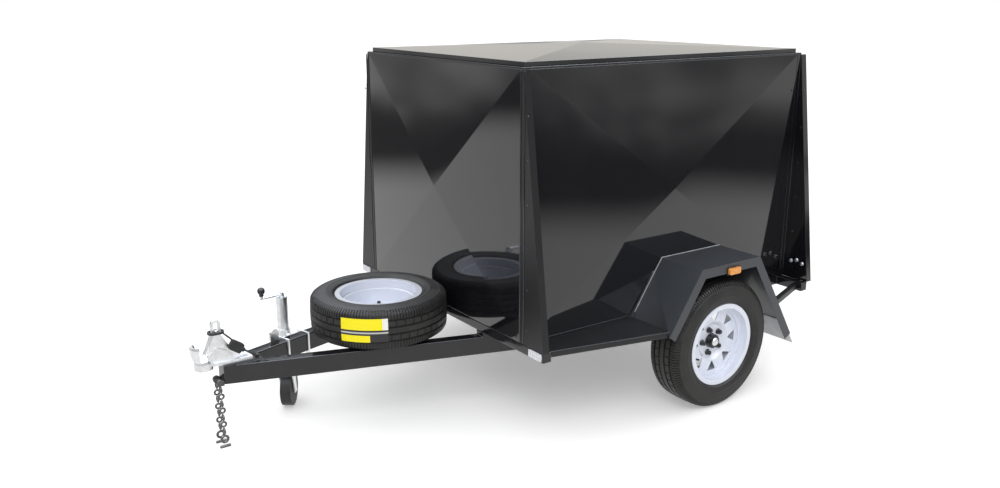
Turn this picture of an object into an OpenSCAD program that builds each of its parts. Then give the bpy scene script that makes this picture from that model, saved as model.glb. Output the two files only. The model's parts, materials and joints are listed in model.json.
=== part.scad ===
// Enclosed luggage trailer: creased-panel box on a single axle, with an A-frame drawbar
// Millimetres. +X points forward to the coupling, +Y to the trailer's left, +Z up, the ground at Z = 0

/* [Box] */
// Length from the front panel's edge to the rear frame's face
box_l = 1575; // [1300:5:1900]
// Width over the side panels
box_w = 1220; // [1050:5:1400]
// Height from the deck to the top rim
box_h = 1050; // [850:5:1250]
// Height of the deck above the ground
deck_z = 430; // [415:5:480]
// Thickness of the walls
wall_t = 25; // [20:1:40]
// Rise of the cross-broken panels
crease_h = 18; // [6:1:24]
// Rise of the cross-broken roof
roof_crease_h = 26; // [10:1:40]
// Height of the roof's skirt
roof_skirt_h = 18; // [10:1:30]
// Inset of the roof from the rim
roof_inset = 18; // [8:1:30]
// Thickness of the top rim
rim_flange_t = 8; // [4:1:12]
// Thickness of the floor sheet
floor_t = 4; // [2:1:10]
// Thickness of folded sheet
sheet_t = 3; // [2:0.5:5]

/* [Corner wings] */
// Width of the corner posts
post_w = 14; // [8:1:25]
// Reach of a wing's foot beyond the side panel
wing_reach = 140; // [100:5:170]
// Depth of the flange along a wing's slanted edge
wing_flange = 30; // [15:1:40]

/* [Base frame] */
// Height of the beams
beam_h = 40; // [30:1:60]
// Depth of the beams
beam_d = 40; // [30:1:60]
// Width of the side rails
rail_w = 50; // [40:1:60]
// Width of the cross members
cross_w = 40; // [30:1:60]

/* [Drawbar] */
// Half angle of the A-frame
drawbar_angle = 17.5; // [15:0.5:20]
// Height of a drawbar rail
drawbar_h = 75; // [60:1:90]
// Width of a drawbar rail
drawbar_w = 50; // [40:1:60]
// Drop of the drawbar below the base frame, filled by packers
drawbar_drop = 18; // [10:1:24]
// Distance from the tow ball back to the rails' cut nose
nose_back = 65; // [50:1:90]
// Distance from the front panel back to the rails' tails
tail_reach = 480; // [400:5:560]
// Thickness of the nose plate under the coupling
nose_plate_t = 8; // [5:1:12]

/* [Wheels] */
// Outer diameter of a tyre
tyre_d = 574; // [550:2:590]
// Section width of a tyre
tyre_w = 176; // [165:1:186]
// Diameter of a rim over its flanges
flange_d = 365; // [350:1:372]
// Width of a rim over its flanges
rim_w = 152; // [146:1:160]
// Distance of the axle behind the front panel
axle_s = 915; // [860:5:970]
// Gap between a side panel and its tyre
tyre_gap = 52; // [40:1:62]
// Number of triangular holes in a rim
rim_holes = 8; // [6:1:10]
// Number of wheel studs
stud_count = 5; // [4:1:6]
// Pitch circle of the wheel studs
stud_pcd = 108; // [100:1:116]
// Diameter of a wheel stud
stud_d = 12; // [10:1:14]

/* [Mudguards] */
// Reach of a guard beyond the side panel
guard_w = 242; // [238:1:260]
// Height of a guard's top
guard_z = 658; // [640:1:700]
// Distance from the axle forward to a guard's front foot
guard_front = 348; // [340:1:380]
// Distance from the axle forward to a guard's front fold
guard_fore = 177; // [165:1:200]
// Distance from the axle back to a guard's rear fold
guard_aft = 178; // [165:1:200]
// Distance from the axle back to a guard's rear foot
guard_rear = 429; // [415:1:440]
// Height of a guard's rear foot
guard_tail_z = 254; // [240:1:280]
// Height of a guard's front foot above the side rails
guard_foot_h = 12; // [5:1:20]
// Depth of a guard's folded lip
guard_lip = 40; // [15:1:45]
// Height of the upstand that is fixed to the side panel
guard_upstand = 12; // [8:1:20]
// Section of the stay bars
stay_s = 25; // [16:1:30]

/* [Coupling] */
// Diameter of the tow ball
ball_d = 50; // [48:0.1:51]
// Distance from the front panel to the ball's centre
ball_reach = 1050; // [1045:1:1060]
// Height of the ball's centre above the drawbar's top
ball_rise = 16; // [12:1:22]

/* [Jockey wheel] */
// Distance from the front panel to the jockey's pivot
jockey_reach = 600; // [580:5:640]
// Distance from the drawbar rail to the jockey's tube
jockey_out = 100; // [90:1:120]
// Diameter of the jockey's outer tube
jockey_tube_d = 48; // [44:1:56]
// Diameter of the jockey's inner leg
jockey_leg_d = 38; // [32:1:40]
// Diameter of the jockey's wheel
jockey_wheel_d = 150; // [120:2:180]
// Width of the jockey's wheel
jockey_wheel_w = 46; // [30:1:60]
// Trail of the jockey's wheel behind its tube
jockey_trail = 28; // [15:1:40]
// Turn of the jockey's caster about its leg
caster_turn = 37.5; // [-45:0.5:45]

/* [Doors] */
// Thickness of the rear doors
door_t = 25; // [20:1:30]
// Gap between the two doors
door_gap = 6; // [5:1:12]
// Distance of the hinge pin behind the door's face
pin_off = 6; // [5:1:8]
// Radius of a hinge barrel
barrel_r = 8; // [7:0.5:10]
// Diameter of a hinge pin
pin_d = 8; // [6:0.5:10]
// Rise of the doors' cross-breaks
door_crease_h = 4; // [2:1:5]

/* [Chains] */
// Thickness of a chain link's bar
link_t = 8; // [6:0.5:9]
// Inner length of a chain link
link_in = 30; // [26:1:34]
// Number of hanging links in a chain
link_count = 8; // [5:1:8]

/* [Hidden] */
$fn = 48;

// A seat that nearly touches
seat = 0.3;
// A length that reaches past whatever it trims
past = 4000;
paint = [0.05, 0.05, 0.06];
zinc = [0.72, 0.73, 0.74];
rubber = [0.08, 0.08, 0.08];
wheel_white = [0.93, 0.93, 0.95];

// Levels
rail_z = deck_z - beam_h;
draw_top = rail_z - drawbar_drop;
draw_z = draw_top - drawbar_h;
rim_z = deck_z + box_h;
roof_z = rim_z + rim_flange_t;
axle_z = tyre_d / 2;
ball_z = draw_top + ball_rise;

// Plan sizes
side_y = box_w / 2;
inner_y = side_y - wall_t;
panel_y = side_y - post_w;
foot_y = side_y + wing_reach;
guard_y = side_y + guard_w;
wheel_y = side_y + tyre_gap + tyre_w / 2;
nose_reach = ball_reach - nose_back;
bill_reach = 48;
tip_reach = ball_reach + bill_reach;
rear_reach = box_l + door_t + pin_off + barrel_r;
front_x = (rear_reach - tip_reach) / 2;
apex_reach = nose_reach + drawbar_w / 2;

// X at a distance behind the front panel
function at(s) = front_x - s;

// A block between two distances behind the front panel
module block(s0, s1, y0, y1, z0, z1) {
    translate([at(s1), y0, z0]) cube([s1 - s0, y1 - y0, z1 - z0]);
}

// A profile of distance and height, drawn between two widths
module side_profile(y0, y1) {
    translate([front_x, y1, 0]) mirror([1, 0, 0]) rotate([90, 0, 0])
        linear_extrude(y1 - y0) children();
}

// A profile of width and height, drawn between two distances
module cross_profile(s0, s1) {
    translate([at(s1), 0, 0]) rotate([90, 0, 90]) linear_extrude(s1 - s0) children();
}

// A rectangle with rounded corners, about its middle
module rounded_rect(w, h, q) {
    square([w - 2 * q, h], center = true);
    square([w, h - 2 * q], center = true);
    for (x = [-1, 1], y = [-1, 1]) translate([x * (w / 2 - q), y * (h / 2 - q)]) circle(r = q);
}

// A slot with round ends, along Y and about its middle
module stadium(w, l) {
    square([w, l - w], center = true);
    for (m = [-1, 1]) translate([0, m * (l - w) / 2]) circle(d = w);
}

// A round bar between two points
module round_bar(a, b, d) {
    run = b - a;
    translate(a) rotate([0, acos(run[2] / norm(run)), atan2(run[1], run[0])])
        cylinder(d = d, h = norm(run));
}

module both_sides() {
    children();
    mirror([0, 1, 0]) children();
}

// A wall panel along X whose face is folded into a low pyramid towards +Y
module creased_panel(l, h, t, rise) {
    translate([-l / 2, -t, 0]) cube([l, t, h]);
    intersection() {
        linear_extrude(h) polygon([[-l / 2, 0], [l / 2, 0], [0, rise]]);
        translate([-l / 2, 0, 0]) rotate([90, 0, 90])
            linear_extrude(l) polygon([[0, 0], [rise, h / 2], [0, h]]);
    }
}

// Base frame: full-width end beams, side rails and cross members
rear_cross = 230;
cross_s = [tail_reach - cross_w, axle_s + rear_cross];

module base_frame() color(paint) {
    for (s = [0, box_l - beam_d]) block(s, s + beam_d, -foot_y, foot_y, rail_z, deck_z);
    both_sides() block(beam_d, box_l - beam_d, side_y - rail_w, side_y, rail_z, deck_z);
    for (s = cross_s) block(s, s + cross_w, rail_w - side_y, side_y - rail_w, rail_z, deck_z);
}

// Drawbar: two mitred rails with packers, and the nose plate
nose_plate_l = 150;
nose_plate_w = 92;

module drawbar_rail(s0, s1, z0, z1) {
    rail_l = (apex_reach + tail_reach) / cos(drawbar_angle) + drawbar_w;
    intersection() {
        translate([at(-apex_reach), 0, z0]) rotate([0, 0, 180 - drawbar_angle])
            translate([-drawbar_w, -drawbar_w / 2, 0]) cube([rail_l, drawbar_w, z1 - z0]);
        block(s0, s1, 0, past, z0, z1);
    }
}

module drawbar() color(paint) {
    both_sides() {
        drawbar_rail(-nose_reach, tail_reach, draw_z, draw_top);
        // Packers under the front beam and the cross member
        drawbar_rail(0, beam_d, draw_top, rail_z);
        drawbar_rail(tail_reach - cross_w, tail_reach, draw_top, rail_z);
    }
    block(-nose_reach, nose_plate_l - nose_reach, -nose_plate_w / 2, nose_plate_w / 2,
        draw_top, draw_top + nose_plate_t);
}

// Floor sheet inside the walls
module floor_sheet() color(paint)
    block(wall_t, box_l - wall_t, -inner_y, inner_y, deck_z, deck_z + floor_t);

// Walls
module front_panel() color(paint)
    translate([at(0), 0, deck_z]) rotate([0, 0, -90])
        creased_panel(2 * panel_y, box_h, wall_t, crease_h);

module left_panel() color(paint)
    translate([at(box_l / 2), side_y, deck_z])
        creased_panel(box_l - 2 * wall_t, box_h, wall_t, crease_h);

module right_panel() mirror([0, 1, 0]) left_panel();

// Rear frame: the surround that the doors close on
frame_w = 60;

module rear_frame() color(paint)
    difference() {
        block(box_l - wall_t, box_l, -panel_y, panel_y, deck_z, rim_z);
        block(box_l - 2 * wall_t, box_l + wall_t, frame_w - panel_y, panel_y - frame_w,
            deck_z + frame_w, rim_z - frame_w);
    }

// Roof: rim flange and creased sheet
rim_in = wall_t + 15;

module roof_frame() color(paint)
    difference() {
        block(0, box_l, -side_y, side_y, rim_z, roof_z);
        block(rim_in, box_l - rim_in, rim_in - side_y, side_y - rim_in, rim_z - past, rim_z + past);
    }

module roof_sheet() color(paint)
    translate([at(box_l / 2), -side_y + roof_inset, roof_z + roof_skirt_h]) rotate([90, 0, 0])
        mirror([0, 0, 1]) creased_panel(box_l - 2 * roof_inset, box_w - 2 * roof_inset,
            roof_skirt_h, roof_crease_h);

// Corner wing: post, triangular plate and the flange along its slanted edge
wing_top_y = side_y + sheet_t;
wing_slant_t = sheet_t / cos(atan((foot_y - wing_top_y) / box_h));

module wing(post, plate, flange) color(paint) {
    block(post[0], post[1], panel_y, side_y, deck_z, rim_z);
    cross_profile(plate[0], plate[1])
        polygon([[panel_y, deck_z], [foot_y, deck_z], [wing_top_y, rim_z], [panel_y, rim_z]]);
    cross_profile(flange[0], flange[1])
        polygon([[foot_y - wing_slant_t, deck_z], [foot_y, deck_z], [wing_top_y, rim_z],
            [wing_top_y - wing_slant_t, rim_z]]);
}

module front_left_wing() wing([0, wall_t], [0, sheet_t], [0, wing_flange]);
module front_right_wing() mirror([0, 1, 0]) front_left_wing();
module rear_left_wing()
    wing([box_l - wall_t, box_l], [box_l - sheet_t, box_l], [box_l - sheet_t, box_l + wing_flange]);
module rear_right_wing() mirror([0, 1, 0]) rear_left_wing();

// Mudguard: one folded sheet, from front foot to rear foot, as distance and height
guard_line = [
    [axle_s - guard_front, rail_z + guard_foot_h], [axle_s - guard_fore, guard_z],
    [axle_s + guard_aft, guard_z], [axle_s + guard_rear, guard_tail_z]
];

function edge_normal(a, b) = [a[1] - b[1], b[0] - a[0]] / norm(b - a);

// A point of the guard's line moved out by d, square to the sheet
function guard_point(i, d) =
    let (n = len(guard_line) - 1,
        before = edge_normal(guard_line[max(i, 1) - 1], guard_line[max(i, 1)]),
        after = edge_normal(guard_line[min(i, n - 1)], guard_line[min(i, n - 1) + 1]))
    guard_line[i] + d * (before + after) / (1 + before * after);

function guard_edge(d) = [for (i = [0 : len(guard_line) - 1]) guard_point(i, d)];

module guard_band(d0, d1) {
    low = guard_edge(d0);
    polygon(concat(guard_edge(d1), [for (i = [len(low) - 1 : -1 : 0]) low[i]]));
}

module left_guard() color(paint)
    difference() {
        union() {
            side_profile(side_y, guard_y) guard_band(-sheet_t, 0);
            side_profile(guard_y - sheet_t, guard_y) guard_band(-guard_lip, 0);
            side_profile(side_y, side_y + crease_h) guard_band(-sheet_t, guard_upstand);
        }
        left_panel();
        side_profile(side_y + 2 * sheet_t, guard_y) guard_band(0, 2 * guard_upstand);
    }

module right_guard() mirror([0, 1, 0]) left_guard();

// Stays: bars from the end beams to the guard, and the step plate on the front bar
stay_z = rail_z + beam_h / 2;
stay_in = 36;
stay_in_y = foot_y - stay_in;
stay_out_y = guard_y - stay_s;
stay_lap = 140;

module stay(s0, s1) {
    run = [at(s1) - at(s0), stay_out_y - stay_in_y];
    translate([at(s0), stay_in_y, stay_z - stay_s / 2]) rotate([0, 0, atan2(run[1], run[0])])
        translate([-stay_s, -stay_s / 2, 0]) cube([norm(run) + 2 * stay_s, stay_s, stay_s]);
}

module step_plate(s0, s1) {
    translate([0, 0, stay_z + stay_s / 2 - sheet_t]) linear_extrude(sheet_t)
        polygon([[at(s0), side_y], [at(s0), stay_in_y], [at(s1), stay_out_y], [at(s1), side_y]]);
}

module left_stays() color(paint)
    difference() {
        intersection() {
            union() {
                stay(beam_d, guard_line[0][0]);
                step_plate(beam_d, guard_line[0][0] + stay_s);
                stay(box_l - beam_d, guard_line[2][0] + stay_lap);
            }
            block(beam_d, box_l - beam_d, 0, past, rail_z, deck_z);
        }
        side_profile(0, guard_y + past)
            polygon(concat(guard_line, [[guard_line[3][0], 0], [guard_line[0][0], 0]]));
        side_profile(0, side_y + 2 * sheet_t + seat) guard_band(-sheet_t, guard_upstand + seat);
    }

module right_stays() mirror([0, 1, 0]) left_stays();

// Mud flaps: rubber sheets inside the guards' rear feet
flap_t = 4;
flap_lap = 80;
flap_drop = 58;
flap_in = 30;

module mud_flaps() color([0.6, 0.6, 0.6]) {
    run = (guard_line[3] - guard_line[2]) / norm(guard_line[3] - guard_line[2]);
    inside = -edge_normal(guard_line[2], guard_line[3]);
    root = guard_line[3] + sheet_t * inside;
    both_sides() side_profile(side_y + flap_in, guard_y - sheet_t)
        polygon([root - flap_lap * run, root + flap_drop * run,
            root + flap_drop * run + flap_t * inside, root - flap_lap * run + flap_t * inside]);
}

// Lamps and reflectors
marker_l = 66;
marker_h = 28;
marker_d = 14;
marker_back = 8;
marker_drop = 17;

module marker_lamps() color([1, 0.55, 0.1])
    both_sides()
        side_profile(guard_y, guard_y + marker_d)
            translate([axle_s + marker_back, guard_z - marker_drop - marker_h / 2])
                rounded_rect(marker_l, marker_h, marker_h / 4);

lamp_w = 84;
lamp_h = 150;
lamp_d = 34;
lamp_base_t = 10;
lamp_rim = 5;
lamp_round = 10;
lamp_out = 62;
lamp_up = 40;

module tail_lamps() color([0.7, 0.05, 0.05])
    both_sides() translate([0, side_y + lamp_out, deck_z + lamp_up + lamp_h / 2]) {
        cross_profile(box_l, box_l + lamp_base_t) rounded_rect(lamp_w, lamp_h, lamp_round);
        cross_profile(box_l, box_l + lamp_d)
            rounded_rect(lamp_w - 2 * lamp_rim, lamp_h - 2 * lamp_rim, lamp_round);
    }

reflector_w = 80;
reflector_h = 30;
reflector_t = 5;
reflector_in = 8;

module reflectors() color([0.9, 0.9, 0.9])
    both_sides() translate([0, foot_y - reflector_in - reflector_w / 2, stay_z])
        cross_profile(-reflector_t, 0) rounded_rect(reflector_w, reflector_h, reflector_h / 5);

// Blank plate holder under the rear beam
plate_w = 376;
plate_h = 110;

module plate_holder() color(paint)
    block(box_l - sheet_t, box_l, -plate_w / 2, plate_w / 2, rail_z - plate_h, rail_z);

// Axle: square beam, stubs, spring seats and clamps
axle_s_size = 45;
spring_y = side_y - rail_w / 2;
leaf_w = 45;
leaf_t = 7;
leaf_count = 3;
leaf_half = 300;
eye_rise = 34;
stub_d = 30;
spring_low = axle_z + axle_s_size / 2;
clamp_gap = 30;
clamp_d = 10;
clamp_seat = 1;
pad_l = 100;
pad_w = 68;
pad_t = 8;
beam_back = 90;
stub_out = 20;

module axle() color(paint) {
    beam_y = wheel_y - beam_back;
    beam_low = axle_z - axle_s_size / 2;
    block(axle_s - axle_s_size / 2, axle_s + axle_s_size / 2, -beam_y, beam_y, beam_low, spring_low);
    both_sides() {
        translate([at(axle_s), beam_y, axle_z]) rotate([-90, 0, 0])
            cylinder(d = stub_d, h = beam_back + stub_out);
        block(axle_s - pad_l / 2, axle_s + pad_l / 2, spring_y - pad_w / 2, spring_y + pad_w / 2,
            beam_low - pad_t, beam_low);
        for (x = [-1, 1], y = [-1, 1])
            translate([at(axle_s + x * clamp_gap),
                spring_y + y * (leaf_w / 2 + clamp_d / 2 + clamp_seat), beam_low - pad_t])
                cylinder(d = clamp_d, h = axle_s_size + pad_t + leaf_count * leaf_t);
    }
}

// Leaf springs: arched leaves that shorten downwards, with an eye at each end of the main leaf
arch_r = (leaf_half * leaf_half + eye_rise * eye_rise) / (2 * eye_rise);
arch_z = spring_low + (leaf_count - 1) * leaf_t + arch_r;
arch_fn = 720;
leaf_step = 0.28;
eye_d = 30;
eye_bore = 16;
eye_z = spring_low + (leaf_count - 1) * leaf_t + eye_rise + leaf_t / 2;

module leaf(i) {
    half = leaf_half * (1 - leaf_step * i);
    intersection() {
        translate([axle_s, arch_z]) difference() {
            circle(r = arch_r + i * leaf_t, $fn = arch_fn);
            circle(r = arch_r - leaf_t, $fn = arch_fn);
        }
        translate([axle_s - half, 0]) square([2 * half, arch_z]);
    }
}

module springs() color(paint)
    both_sides()
        difference() {
            union() {
                side_profile(spring_y - leaf_w / 2, spring_y + leaf_w / 2)
                    for (i = [0 : leaf_count - 1]) leaf(i);
                for (x = [-1, 1])
                    translate([at(axle_s + x * leaf_half), spring_y - leaf_w / 2, eye_z])
                        rotate([-90, 0, 0]) cylinder(d = eye_d, h = leaf_w);
            }
            for (x = [-1, 1])
                translate([at(axle_s + x * leaf_half), spring_y - leaf_w, eye_z])
                    rotate([-90, 0, 0]) cylinder(d = eye_bore, h = 2 * leaf_w);
        }

// Hangers: cheeks under the side rails with a pin through each eye
hanger_t = 6;
hanger_l = 50;
hanger_gap = 1;

module hangers() color(paint)
    both_sides() for (x = [-1, 1]) {
        eye_s = axle_s + x * leaf_half;
        half = leaf_w / 2 + hanger_gap;
        for (y = [spring_y - half - hanger_t, spring_y + half])
            block(eye_s - hanger_l / 2, eye_s + hanger_l / 2, y, y + hanger_t, eye_z - eye_d / 2, rail_z);
        translate([at(eye_s), spring_y - half - hanger_t, eye_z]) rotate([-90, 0, 0])
            cylinder(d = eye_bore - 2 * seat, h = 2 * (half + hanger_t));
    }

// Wheel parts stand on their own axis, with +Z to the outside
bead_r = flange_d / 2 - 17.5;
flange_t = 6;
barrel_t = 4;
well_r = bead_r - 16;
seat_w = 36;
disc_z = 5;
disc_t = 5;
disc_rise = 16;
dish_in = 73;
dish_out = 91;
hub_bore = 64;
stud_gap = 1;
bore_h = 60;
// A hole's inset corners and the radius round them
hole_line = [[97, 0], [129, -18], [129, 18]];
hole_round = 5;

module rim_section() {
    half = rim_w / 2;
    rise = disc_z + disc_rise;
    // Flanges and bead seats
    for (m = [0, 1]) mirror([0, m]) {
        translate([bead_r - barrel_t, half - flange_t]) square([flange_d / 2 - bead_r + barrel_t, flange_t]);
        translate([bead_r - barrel_t, half - seat_w - barrel_t]) square([barrel_t, seat_w + barrel_t]);
    }
    // Well
    translate([well_r - barrel_t, seat_w - half]) square([barrel_t, rim_w - 2 * seat_w]);
    for (m = [0, 1]) mirror([0, m])
        translate([well_r - barrel_t, half - seat_w - barrel_t]) square([bead_r - well_r + barrel_t, barrel_t]);
    // Dished disc
    polygon([[hub_bore / 2, disc_z], [dish_in, disc_z], [dish_out, rise], [well_r - barrel_t / 2, rise],
        [well_r - barrel_t / 2, rise + disc_t], [dish_out - 1, rise + disc_t],
        [dish_in - 1, disc_z + disc_t], [hub_bore / 2, disc_z + disc_t]]);
}

// A triangular hole with rounded corners
module rim_hole() {
    n = len(hole_line);
    polygon([for (i = [0 : n - 1], j = [i, i + 1])
        let (a = hole_line[i], b = hole_line[(i + 1) % n])
        hole_line[j % n] - hole_round * edge_normal(a, b)]);
    for (p = hole_line) translate(p) circle(r = hole_round);
}

module rim_solid() color(wheel_white)
    difference() {
        rotate_extrude() rim_section();
        translate([0, 0, disc_z - disc_t]) {
            for (i = [0 : rim_holes - 1]) rotate(i * 360 / rim_holes) linear_extrude(bore_h) rim_hole();
            for (i = [0 : stud_count - 1]) rotate(i * 360 / stud_count)
                translate([stud_pcd / 2, 0, 0]) cylinder(d = stud_d + stud_gap, h = bore_h);
        }
    }

// Tyre: tread, shoulders and bulged sidewalls, open to the rim
side_r = 48;
side_in = 65;
shoulder_r = 28;
shoulder_in = 2;

module tyre_solid() color(rubber)
    rotate_extrude($fn = 96)
        difference() {
            union() {
                for (m = [0, 1]) mirror([0, m]) {
                    translate([tyre_d / 2 - side_in, tyre_w / 2 - side_r]) circle(r = side_r);
                    translate([tyre_d / 2 - shoulder_r, tyre_w / 2 - shoulder_r - shoulder_in])
                        circle(r = shoulder_r);
                }
                translate([bead_r + seat, -rim_w / 2 + flange_t + seat])
                    square([tyre_d / 2 - bead_r - shoulder_r, rim_w - 2 * flange_t - 2 * seat]);
                translate([tyre_d / 2 - shoulder_r, -tyre_w / 2 + shoulder_r + shoulder_in])
                    square([shoulder_r, tyre_w - 2 * shoulder_r - 2 * shoulder_in]);
            }
            translate([0, -tyre_w]) square([bead_r + seat, 2 * tyre_w]);
            for (m = [0, 1]) mirror([0, m])
                translate([0, rim_w / 2 - flange_t - seat]) square([flange_d / 2 + seat, tyre_w]);
        }

// Hub: barrel, flange, dust cap, studs and nuts
hub_flange_d = 140;
hub_flange_t = 12;
hub_back = 60;
hub_back_d = 70;
hub_out = 38;
hub_neck = 8;
cap_d = 50;
nut_d = 20;
nut_h = 15;
stud_show = 3;

module hub_solid() color(paint)
    difference() {
        union() {
            translate([0, 0, disc_z - hub_flange_t]) cylinder(d = hub_flange_d, h = hub_flange_t);
            translate([0, 0, -hub_back]) cylinder(d = hub_back_d, h = hub_back);
            cylinder(d = hub_bore - 2, h = hub_out - hub_neck);
            cylinder(d = cap_d, h = hub_out);
            for (i = [0 : stud_count - 1]) rotate(i * 360 / stud_count) translate([stud_pcd / 2, 0, 0]) {
                cylinder(d = stud_d, h = disc_z + disc_t + nut_h + stud_show);
                translate([0, 0, disc_z + disc_t]) cylinder(d = nut_d, h = nut_h, $fn = 6);
            }
        }
        translate([0, 0, -2 * hub_back])
            cylinder(d = stub_d + 2 * seat, h = 2 * hub_back + stub_out + 2);
    }

module on_left_wheel() {
    translate([at(axle_s), wheel_y, axle_z]) rotate([-90, 0, 0]) children();
}

module on_right_wheel() {
    translate([at(axle_s), -wheel_y, axle_z]) rotate([90, 0, 0]) children();
}

module left_rim() on_left_wheel() rim_solid();
module left_tyre() on_left_wheel() tyre_solid();
module left_hub() on_left_wheel() hub_solid();
module right_rim() on_right_wheel() rim_solid();
module right_tyre() on_right_wheel() tyre_solid();
module right_hub() on_right_wheel() hub_solid();

// Spare wheel, flat on the drawbar with its disc low, and its carrier
spare_gap = 12;
spare_s = -(tyre_d / 2 + spare_gap);
spare_z = draw_top + tyre_w / 2;
carrier_w = 60;
carrier_t = 8;
carrier_drop = 40;
carrier_gap = 14;
carrier_stud_d = 16;
carrier_stud_up = 30;
carrier_post_d = 50;
washer_d = 92;
washer_t = 8;
carrier_nut_d = 28;
carrier_nut_h = 14;

module on_spare() {
    translate([at(spare_s), 0, spare_z]) children();
}

module spare_rim() on_spare() mirror([0, 0, 1]) rim_solid();
module spare_tyre() on_spare() tyre_solid();

module spare_carrier() color(paint) {
    reach = (apex_reach + spare_s) * tan(drawbar_angle) - drawbar_w / 2 - carrier_gap;
    low = draw_top - carrier_drop;
    block(spare_s - carrier_w / 2, spare_s + carrier_w / 2, -reach, reach, low, low + carrier_t);
    on_spare() {
        translate([0, 0, low - spare_z]) {
            cylinder(d = carrier_stud_d, h = spare_z - low + carrier_stud_up);
            cylinder(d = carrier_post_d, h = spare_z - low - disc_z - disc_t - seat);
        }
        translate([0, 0, seat - disc_z]) {
            cylinder(d = washer_d, h = washer_t);
            cylinder(d = carrier_nut_d, h = washer_t + carrier_nut_h, $fn = 6);
        }
    }
}

// Coupling: pressed body with a ball socket and an upturned bill, and its lever
coupling_z = draw_top + nose_plate_t;
coupling_low = coupling_z - ball_z;
coupling_l = 180;
coupling_w = 78;
foot_from = 30;
foot_t = 12;
cup_r = ball_d / 2 + 10;
cup_depth = 22;
socket_gap = 0.4;
web_w = 44;
web_h = 110;
cheek_w = 56;
bill_angle = 62;
// Outlines of the web and its cheeks, as distance behind the ball's centre and height above it
web_line = [[0, coupling_low], [0, 20], [14, 46], [30, 84], [40, web_h], [68, web_h], [94, 64],
    [139, 12], [164, 14], [174, coupling_low]];
cheek_line = [[0, coupling_low], [12, 34], [46, 60], [84, 44], [130, coupling_low]];
// Section of the bill, as distance from the ball's axis and height above its centre
bill_line = [[30, 4], [40, 23], [bill_reach, 66], [45, 76], [37, 74], [26, 46], [20, 24]];

// A profile of distance behind the ball's centre and height above it
module ball_profile(y0, y1) {
    translate([ball_reach, 0, ball_z]) side_profile(y0, y1) children();
}

// A section of a dome of radius r over a straight skirt, down to a depth below the ball's centre
module dome_section(r, depth) {
    intersection() {
        circle(r = r);
        square(r);
    }
    translate([0, -depth]) square([r, depth]);
}

module coupling() color(zinc)
    difference() {
        union() {
            ball_profile(-coupling_w / 2, coupling_w / 2)
                translate([foot_from, coupling_low]) square([coupling_l - foot_from, foot_t]);
            ball_profile(-web_w / 2, web_w / 2) polygon(web_line);
            ball_profile(-cheek_w / 2, cheek_w / 2) polygon(cheek_line);
            translate([at(-ball_reach), 0, ball_z]) {
                rotate_extrude() dome_section(cup_r, cup_depth);
                intersection() {
                    rotate_extrude() polygon(bill_line);
                    linear_extrude(past) polygon([[0, 0], [past, -past * tan(bill_angle)],
                        [past, past * tan(bill_angle)]]);
                }
            }
        }
        translate([at(-ball_reach), 0, ball_z])
            rotate_extrude() dome_section((ball_d + socket_gap) / 2, past);
    }

lever_l = 38;
lever_h = 55;
lever_t = 10;
lever_w = 14;
lever_back = 56;

module coupling_lever() color(zinc)
    ball_profile(-lever_w / 2, lever_w / 2)
        translate([lever_back, web_h + seat + lever_h / 2]) difference() {
            union() {
                stadium(lever_l, lever_h);
                translate([-lever_l / 2, -lever_h / 2]) square([lever_l, lever_t]);
            }
            stadium(lever_l - 2 * lever_t, lever_h - 2 * lever_t);
        }

// Safety chains: links that turn by 90 degrees and a shackle, hung from tabs on the drawbar's nose
link_w = 3.4 * link_t;
link_pitch = link_in - 1;
chain_y = [26, -24];
chain_s = -nose_reach - 16;
chain_top = draw_z + 14;
tab_l = 26;
tab_t = 10;
tab_h = 20;
shackle_w = 36;
shackle_h = 58;
shackle_t = 10;
shackle_pin_d = 12;
shackle_pin_l = 42;

// A link of the given size and thickness, upright across X
module chain_link(w, l, t) {
    rotate([90, 0, 90]) linear_extrude(t, center = true) difference() {
        stadium(w, l);
        stadium(w - 2 * t, l - 2 * t);
    }
}

module chain(i) color([0.25, 0.24, 0.23]) {
    shackle_z = -(link_count - 0.5) * link_pitch - link_in / 2 + shackle_t - 1 - shackle_h / 2;
    translate([at(chain_s), chain_y[i], chain_top]) {
        for (k = [0 : link_count - 1])
            translate([0, 0, -(k + 0.5) * link_pitch]) rotate([0, 0, 90 * ((link_count - 1 - k) % 2)])
                chain_link(link_w, link_in + 2 * link_t, link_t);
        translate([0, 0, shackle_z]) rotate([0, 0, 90]) {
            chain_link(shackle_w, shackle_h, shackle_t);
            translate([0, 0, -shackle_h / 2 + shackle_t]) rotate([90, 0, 0])
                cylinder(d = shackle_pin_d, h = shackle_pin_l, center = true);
        }
    }
    block(-nose_reach - tab_l, -nose_reach, chain_y[i] - tab_t / 2, chain_y[i] + tab_t / 2,
        chain_top - tab_h, chain_top + 1);
}

module left_chain() chain(0);
module right_chain() chain(1);

// Plug hung on the lever by a rubber loop and its strap, and the plug's short lead
plug_mid = [118, 56];
plug_turn = -35;
plug_l = 54;
plug_w = 40;
plug_t = 18;
plug_y = cheek_w / 2 + seat;
boot_l = 8;
boot_w = 16;
loop_w = 46;
loop_l = 64;
loop_t = 6;
loop_h = 8;
strap_in_y = 10;
strap_from = [76, web_h + seat];
strap_to = [108, 78];
strap_h = 8;

module plug() color(rubber) {
    ball_profile(plug_y, plug_y + plug_t) translate(plug_mid) rotate(plug_turn) {
        rounded_rect(plug_l, plug_w, plug_w / 5);
        translate([0, -boot_w / 2]) square([plug_l / 2 + boot_l, boot_w]);
    }
    ball_profile(strap_in_y, plug_y + plug_t / 2)
        polygon([strap_from, strap_to, strap_to + [0, strap_h], strap_from + [0, strap_h]]);
    translate([at(-ball_reach + lever_back), 0, ball_z + web_h + seat]) rotate([0, 0, 90])
        linear_extrude(loop_h) difference() {
            stadium(loop_w, loop_l);
            stadium(loop_w - 2 * loop_t, loop_l - 2 * loop_t);
        }
}

lead_d = 8;
lead_l = 62;
gland_d = 16;
gland_h = 14;

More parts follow.
